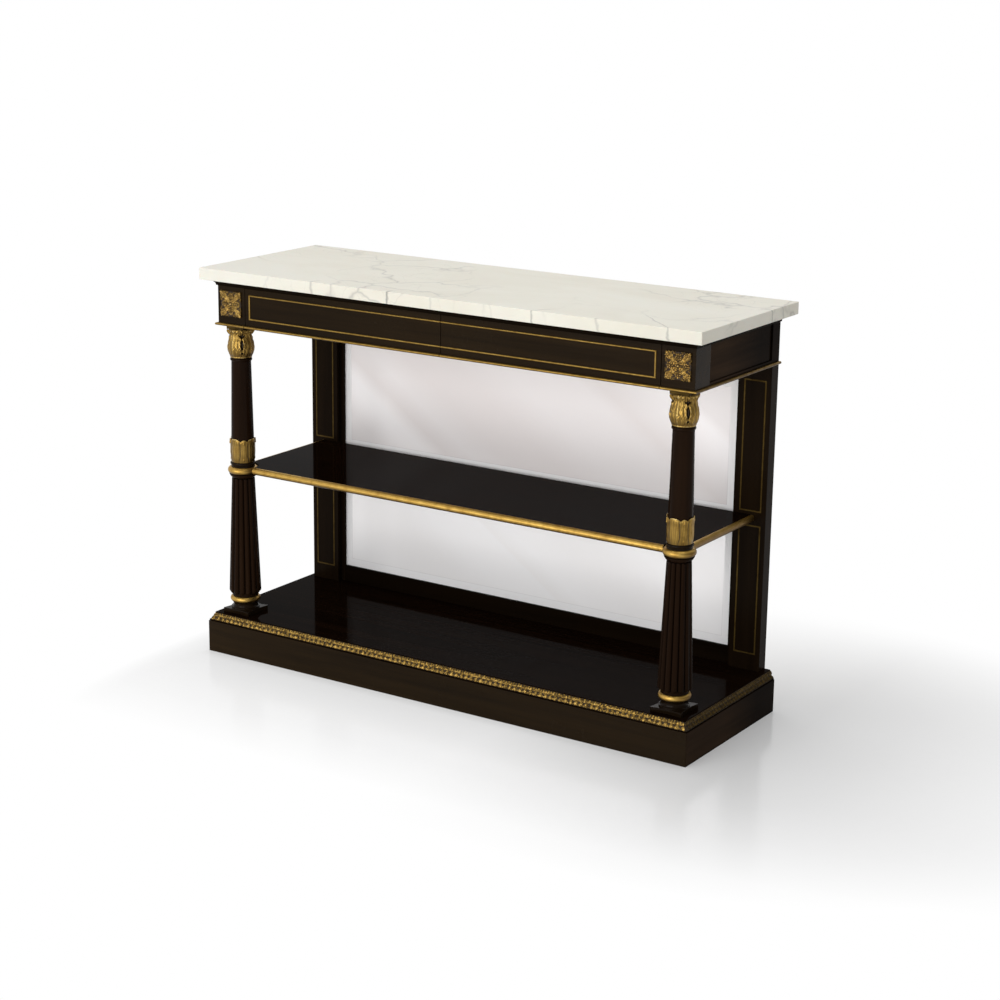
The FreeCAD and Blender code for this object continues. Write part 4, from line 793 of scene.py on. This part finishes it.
# ---------------------------------------------------------------- corner castings
ORNAMENT_Z = 787.5
CASTING_HALF, CASTING_STEP, CASTING_SQUASH = 28.4, 0.42, 0.985
PLATE_LIFT, FORM_LIFT = 0.4, 0.98
FLOWER_AT, FLOWER_SIZE, PETALS = 17.6, 8.6, 8
LEAF_FROM, LEAF_TO = 9, 39
STALK = ((9.4, 8.6), (14.5, 12.0), (20.5, 12.8), (24.5, 16.5))
CURLS = ((13.4, 8.6), (20.2, 14.4), (24.4, 20.6), (26.0, 26.0))
# Berries at four angles on two rings.
BERRY_TURNS, BERRY_RINGS = (0.30, 0.62, 0.94, 1.26), (9.8, 24.8)


def ridge(px, pz, points, width, height):
    """Height of a rounded ridge that follows a line of points."""
    best = np.full(px.shape, 9.0)
    for (ax, az), (bx, bz) in zip(points[:-1], points[1:]):
        dx, dz = bx - ax, bz - az
        t = np.clip(((px - ax) * dx + (pz - az) * dz) / (dx * dx + dz * dz + 1e-9), 0, 1)
        best = np.minimum(best, np.hypot(px - ax - t * dx, pz - az - t * dz) / width)
    return height * dome(np.minimum(best, 1))


def rosette(u, v):
    """A round flower: a knob and a ring of petals."""
    r, a = np.hypot(u, v) / FLOWER_SIZE, np.arctan2(v, u)
    knob = 5.0 * dome(r / 0.27)
    petal = 4.3 * dome((r - 0.60) / 0.34) * (0.22 + 0.78 * np.abs(np.cos(a * PETALS / 2)) ** 0.7)
    return np.maximum(knob, petal)


def corner_leaf(ax, az):
    """A narrow leaf into the corner, its side ribs dying away into a rounded midrib."""
    along, off = (ax + az) / math.sqrt(2), (ax - az) / math.sqrt(2)
    body = np.sin(np.pi * np.clip((along - 8.5) / 31.5, 0, 1)) ** 0.55
    width = 3.6 * body * (0.60 + 0.40 * np.abs(np.cos(along * 0.62)))
    rib = 0.25 + 0.75 * np.abs(np.cos(np.abs(off) * 0.95 - along * 0.55))
    ribbed = np.maximum(rib, 1.12 * dome(off / 1.1))
    leaf = 3.9 * dome(np.clip(np.abs(off) / (width + 0.01), 0, 1)) ** 0.7 * ribbed
    return np.where((along > LEAF_FROM) & (along < LEAF_TO) & (np.abs(off) < width), leaf, 0)


def scrollwork(u, v):
    """Half of what lies between a flower and the corner: scroll, stalk, buds, curls and spines."""
    scroll = [(25.6 + 2.6 * math.cos(a), 12.6 + 3.0 * math.sin(a)) for a in np.linspace(-2.2, 2.6, 14)]
    parts = [ridge(u, v, scroll, 1.25, 4.0), ridge(u, v, STALK, 1.15, 3.4)]
    parts.append(3.4 * dome(np.hypot(u - 26.4, v - 18.4) / 1.7))
    parts.append(3.0 * dome(np.hypot(u - 26.8, v - 7.4) / 1.5))
    for curl_u, curl_v in CURLS:
        from_curl = np.hypot(u - curl_u, v - curl_v)
        parts.append(np.maximum(4.4 * dome((from_curl - 2.3) / 1.0), 4.0 * dome(from_curl / 1.0)))
    for k in range(3):
        spine = [(4.6 + 6.3 * k, 3.0 + 5.4 * k), (8.6 + 6.1 * k, 4.4 + 5.6 * k),
                 (11.4 + 5.4 * k, 8.4 + 5.6 * k)]
        parts.append(ridge(u, v, spine, 1.5, 3.9 - 0.2 * k))
    return parts


def ornament_height(x, z):
    """Central knob, four round flowers, narrow leaves into the corners and rings of curls beside them."""
    ax, az = np.abs(x), np.abs(z)
    reach, turn = np.hypot(x, z), np.arctan2(z, x)
    eightfold = np.abs(np.cos(4 * turn))
    parts = [6.2 * dome(reach / 3.1), 4.2 * dome((reach - 5.9) / 2.4) * (0.3 + 0.7 * eightfold)]
    parts += [rosette(ax - FLOWER_AT, z), rosette(az - FLOWER_AT, x), corner_leaf(ax, az)]
    parts += scrollwork(ax, az) + scrollwork(az, ax)
    for turn_at in BERRY_TURNS:
        for ring in BERRY_RINGS:
            spot_x, spot_z = ring * math.cos(turn_at), ring * math.sin(turn_at)
            parts.append(3.7 * dome(np.hypot(ax - spot_x, az - spot_z) / 1.7))
    grain = 0.9 + 0.8 * np.abs(np.sin(x * 1.9) * np.sin(z * 1.9))
    scallop = 27.6 + 0.8 * np.cos(2 * np.pi * np.minimum(ax, az) / 6.4)
    plate = np.where(np.maximum(ax, az) < scallop, grain, 0)
    chased = 0.66 + 0.34 * np.abs(np.cos(0.98 * reach + 1.4 * np.cos(4 * turn)) * np.cos(1.1 * (ax - az)))
    forms = np.maximum.reduce(parts) * chased
    return np.where(plate > 0, np.maximum(forms, plate), 0)


def ornament(side, name):
    """The casting as a sheet of metal with a scalloped edge over the block's face."""
    count = int(2 * CASTING_HALF / CASTING_STEP) + 1
    line = np.linspace(-CASTING_HALF, CASTING_HALF, count)
    x, z = np.meshgrid(line, line, indexing="ij")
    height = ornament_height(x, z)
    solid = height > 0.35
    cell = solid[:-1, :-1] & solid[1:, :-1] & solid[1:, 1:] & solid[:-1, 1:]
    shown_x, shown_z = side * COLUMN[0] + x, ORNAMENT_Z + z * CASTING_SQUASH
    points = np.concatenate([
        np.stack([shown_x, FRIEZE_FRONT - lift, shown_z], -1).reshape(-1, 3)
        for lift in (PLATE_LIFT + height * FORM_LIFT, np.zeros_like(height))
    ])
    total = count * count
    index = np.arange(total).reshape(count, count)
    faces = []
    for i, j in zip(*np.nonzero(cell)):
        a, b, c, d = index[i, j], index[i + 1, j], index[i + 1, j + 1], index[i, j + 1]
        faces.append((a, b, c, d))
        faces.append((d + total, c + total, b + total, a + total))
        for di, dj, p, q in ((0, -1, a, b), (1, 0, b, c), (0, 1, c, d), (-1, 0, d, a)):
            ni, nj = i + di, j + dj
            inside = 0 <= ni < count - 1 and 0 <= nj < count - 1
            if not (inside and cell[ni, nj]):
                faces.append((q, p, p + total, q + total))
    used = np.unique(np.array([v for f in faces for v in f]))
    renumber = np.full(2 * total, -1)
    renumber[used] = np.arange(len(used))
    faces = [tuple(int(renumber[v]) for v in f) for f in faces]
    relief = np.concatenate([np.clip((height - 1.4) / 2.6, 0, 1).reshape(-1), np.zeros(total)])
    piece("corner_casting_" + name, points[used], faces, relief[used], GILT_CAST, "gilt_bronze",
          stands_for=["corner_ornament_" + name])


for side, name in SIDES:
    ornament(side, name)


# ---------------------------------------------------------------- floor, world and lamps
FLOOR_HALF = 14.0
FLOOR_PAINTED_SHADOW, HALF_LIGHT, WHITE = (0.74, 0.74, 0.74), (0.50, 0.50, 0.50), (1.0, 1.0, 1.0)


def shown_ray(t):
    """1 for camera rays, and 1 for all the rays that see the background: also glossy and transmission."""
    path = t.node("ShaderNodeLightPath")
    direct = path.outputs["Is Camera Ray"]
    seen = t.math("MAXIMUM", direct, path.outputs["Is Glossy Ray"])
    return direct, t.math("MAXIMUM", seen, path.outputs["Is Transmission Ray"])


def floor():
    """Pale floor that clears to plain white away from the table, and later beyond its right end, where a
    painted shadow keeps it darker.
    """
    t = new_material("floor_pale")
    x, y, _ = t.parts(t.place())
    half, front, back = PLINTH_HALF * MM, PLINTH_FRONT * MM, CASE_BACK * MM
    fades = (
        (t.math("SUBTRACT", x, half), 1.0),
        (t.math("SUBTRACT", -half, x), 0.10),
        (t.math("SUBTRACT", front, y), 0.43),
        (t.math("SUBTRACT", y, back), 0.60),
    )
    reach = 0.0
    for beyond, width in fades:
        share = t.math("MAXIMUM", t.math("DIVIDE", beyond, width), 0.0)
        reach = t.math("ADD", reach, t.math("MULTIPLY", share, share))
    clear = t.grey(t.math("SQRT", reach), [(0.0, 0.35), (0.08, 0.55), (0.6, 0.72), (1.0, 1.0)])
    # Painted shadow on the floor beyond the table's right end.
    out = t.math("DIVIDE", t.math("MAXIMUM", t.math("SUBTRACT", x, half), 0.0), 0.80)
    past = t.math("SUBTRACT", t.math("ABSOLUTE", t.math("SUBTRACT", y, 0.05)), 0.20)
    past = t.math("DIVIDE", t.math("MAXIMUM", past, 0.0), 0.60)
    spread = t.math("SQRT", t.math("ADD", t.math("MULTIPLY", out, out), t.math("MULTIPLY", past, past)))
    right_painted_shadow = t.math("MULTIPLY", t.grey(spread, [(0.0, 1.0), (0.35, 0.75), (1.0, 0.0)]),
                     t.grey(t.math("MULTIPLY_ADD", x, 1.0, -0.1), [(0.10, 0.0), (0.60, 1.0)]))
    clear = t.math("MULTIPLY", clear, t.math("MULTIPLY_ADD", right_painted_shadow, -0.75, 1.0))
    tone = t.grey(t.noise(30, 3, 0.5), [(0.3, 0.86), (0.7, 0.88)])
    t.set(Base_Color=t.mix(t.math("MULTIPLY", right_painted_shadow, 0.9), tone, FLOOR_PAINTED_SHADOW))
    t.set(Roughness=0.16, Specular_IOR_Level=0.30)
    glow = t.node("ShaderNodeEmission")
    glow.inputs["Strength"].default_value = 1.0
    blend = t.node("ShaderNodeMixShader")
    _, seen = shown_ray(t)
    t.put(blend.inputs[0], t.math("MULTIPLY", clear, seen))
    t.put(blend.inputs[1], t.nodes["Principled BSDF"].outputs[0])
    t.put(blend.inputs[2], glow.outputs[0])
    t.put(t.nodes["Material Output"].inputs["Surface"], blend.outputs[0])
    mesh = bpy.data.meshes.new("floor")
    corners = [(i * FLOOR_HALF, j * FLOOR_HALF, 0) for i, j in ((-1, -1), (1, -1), (1, 1), (-1, 1))]
    mesh.from_pydata(corners, [], [(0, 1, 2, 3)])
    mesh.materials.append(t.owner)
    ground = bpy.data.objects.new("floor", mesh)
    bpy.context.scene.collection.objects.link(ground)


def world():
    """White where it shows, a little dimmer in reflections from the right, and half strength as light."""
    t = Tree(bpy.data.worlds.new("studio"))
    bpy.context.scene.world = t.owner
    direct, seen = shown_ray(t)
    rightwards = t.parts(t.node("ShaderNodeTexCoord").outputs["Generated"])[0]
    studio = t.grey(t.math("MULTIPLY_ADD", rightwards, -0.5, 0.5), [(0.05, 0.30), (0.65, 1.0)])
    light = t.mix(seen, HALF_LIGHT, studio)
    t.put(t.nodes["Background"].inputs["Color"], t.mix(direct, light, WHITE))


def lamp(name, at, towards, size, power):
    data = bpy.data.lights.new(name, "AREA")
    data.shape = "RECTANGLE"
    data.size, data.size_y = size
    data.energy = power
    shown = bpy.data.objects.new(name, data)
    shown.location = at
    shown.visible_camera = False
    shown.rotation_euler = (Vector(towards) - Vector(at)).to_track_quat("-Z", "Y").to_euler()
    bpy.context.scene.collection.objects.link(shown)


floor()
world()
lamp("key", at=(-0.4, -4.9, 1.5), towards=(0, 0, 0.45), size=(4.6, 2.4), power=133)
lamp("top", at=(0.0, -0.1, 4.2), towards=(0, 0, 0.6), size=(3.0, 2.0), power=46)
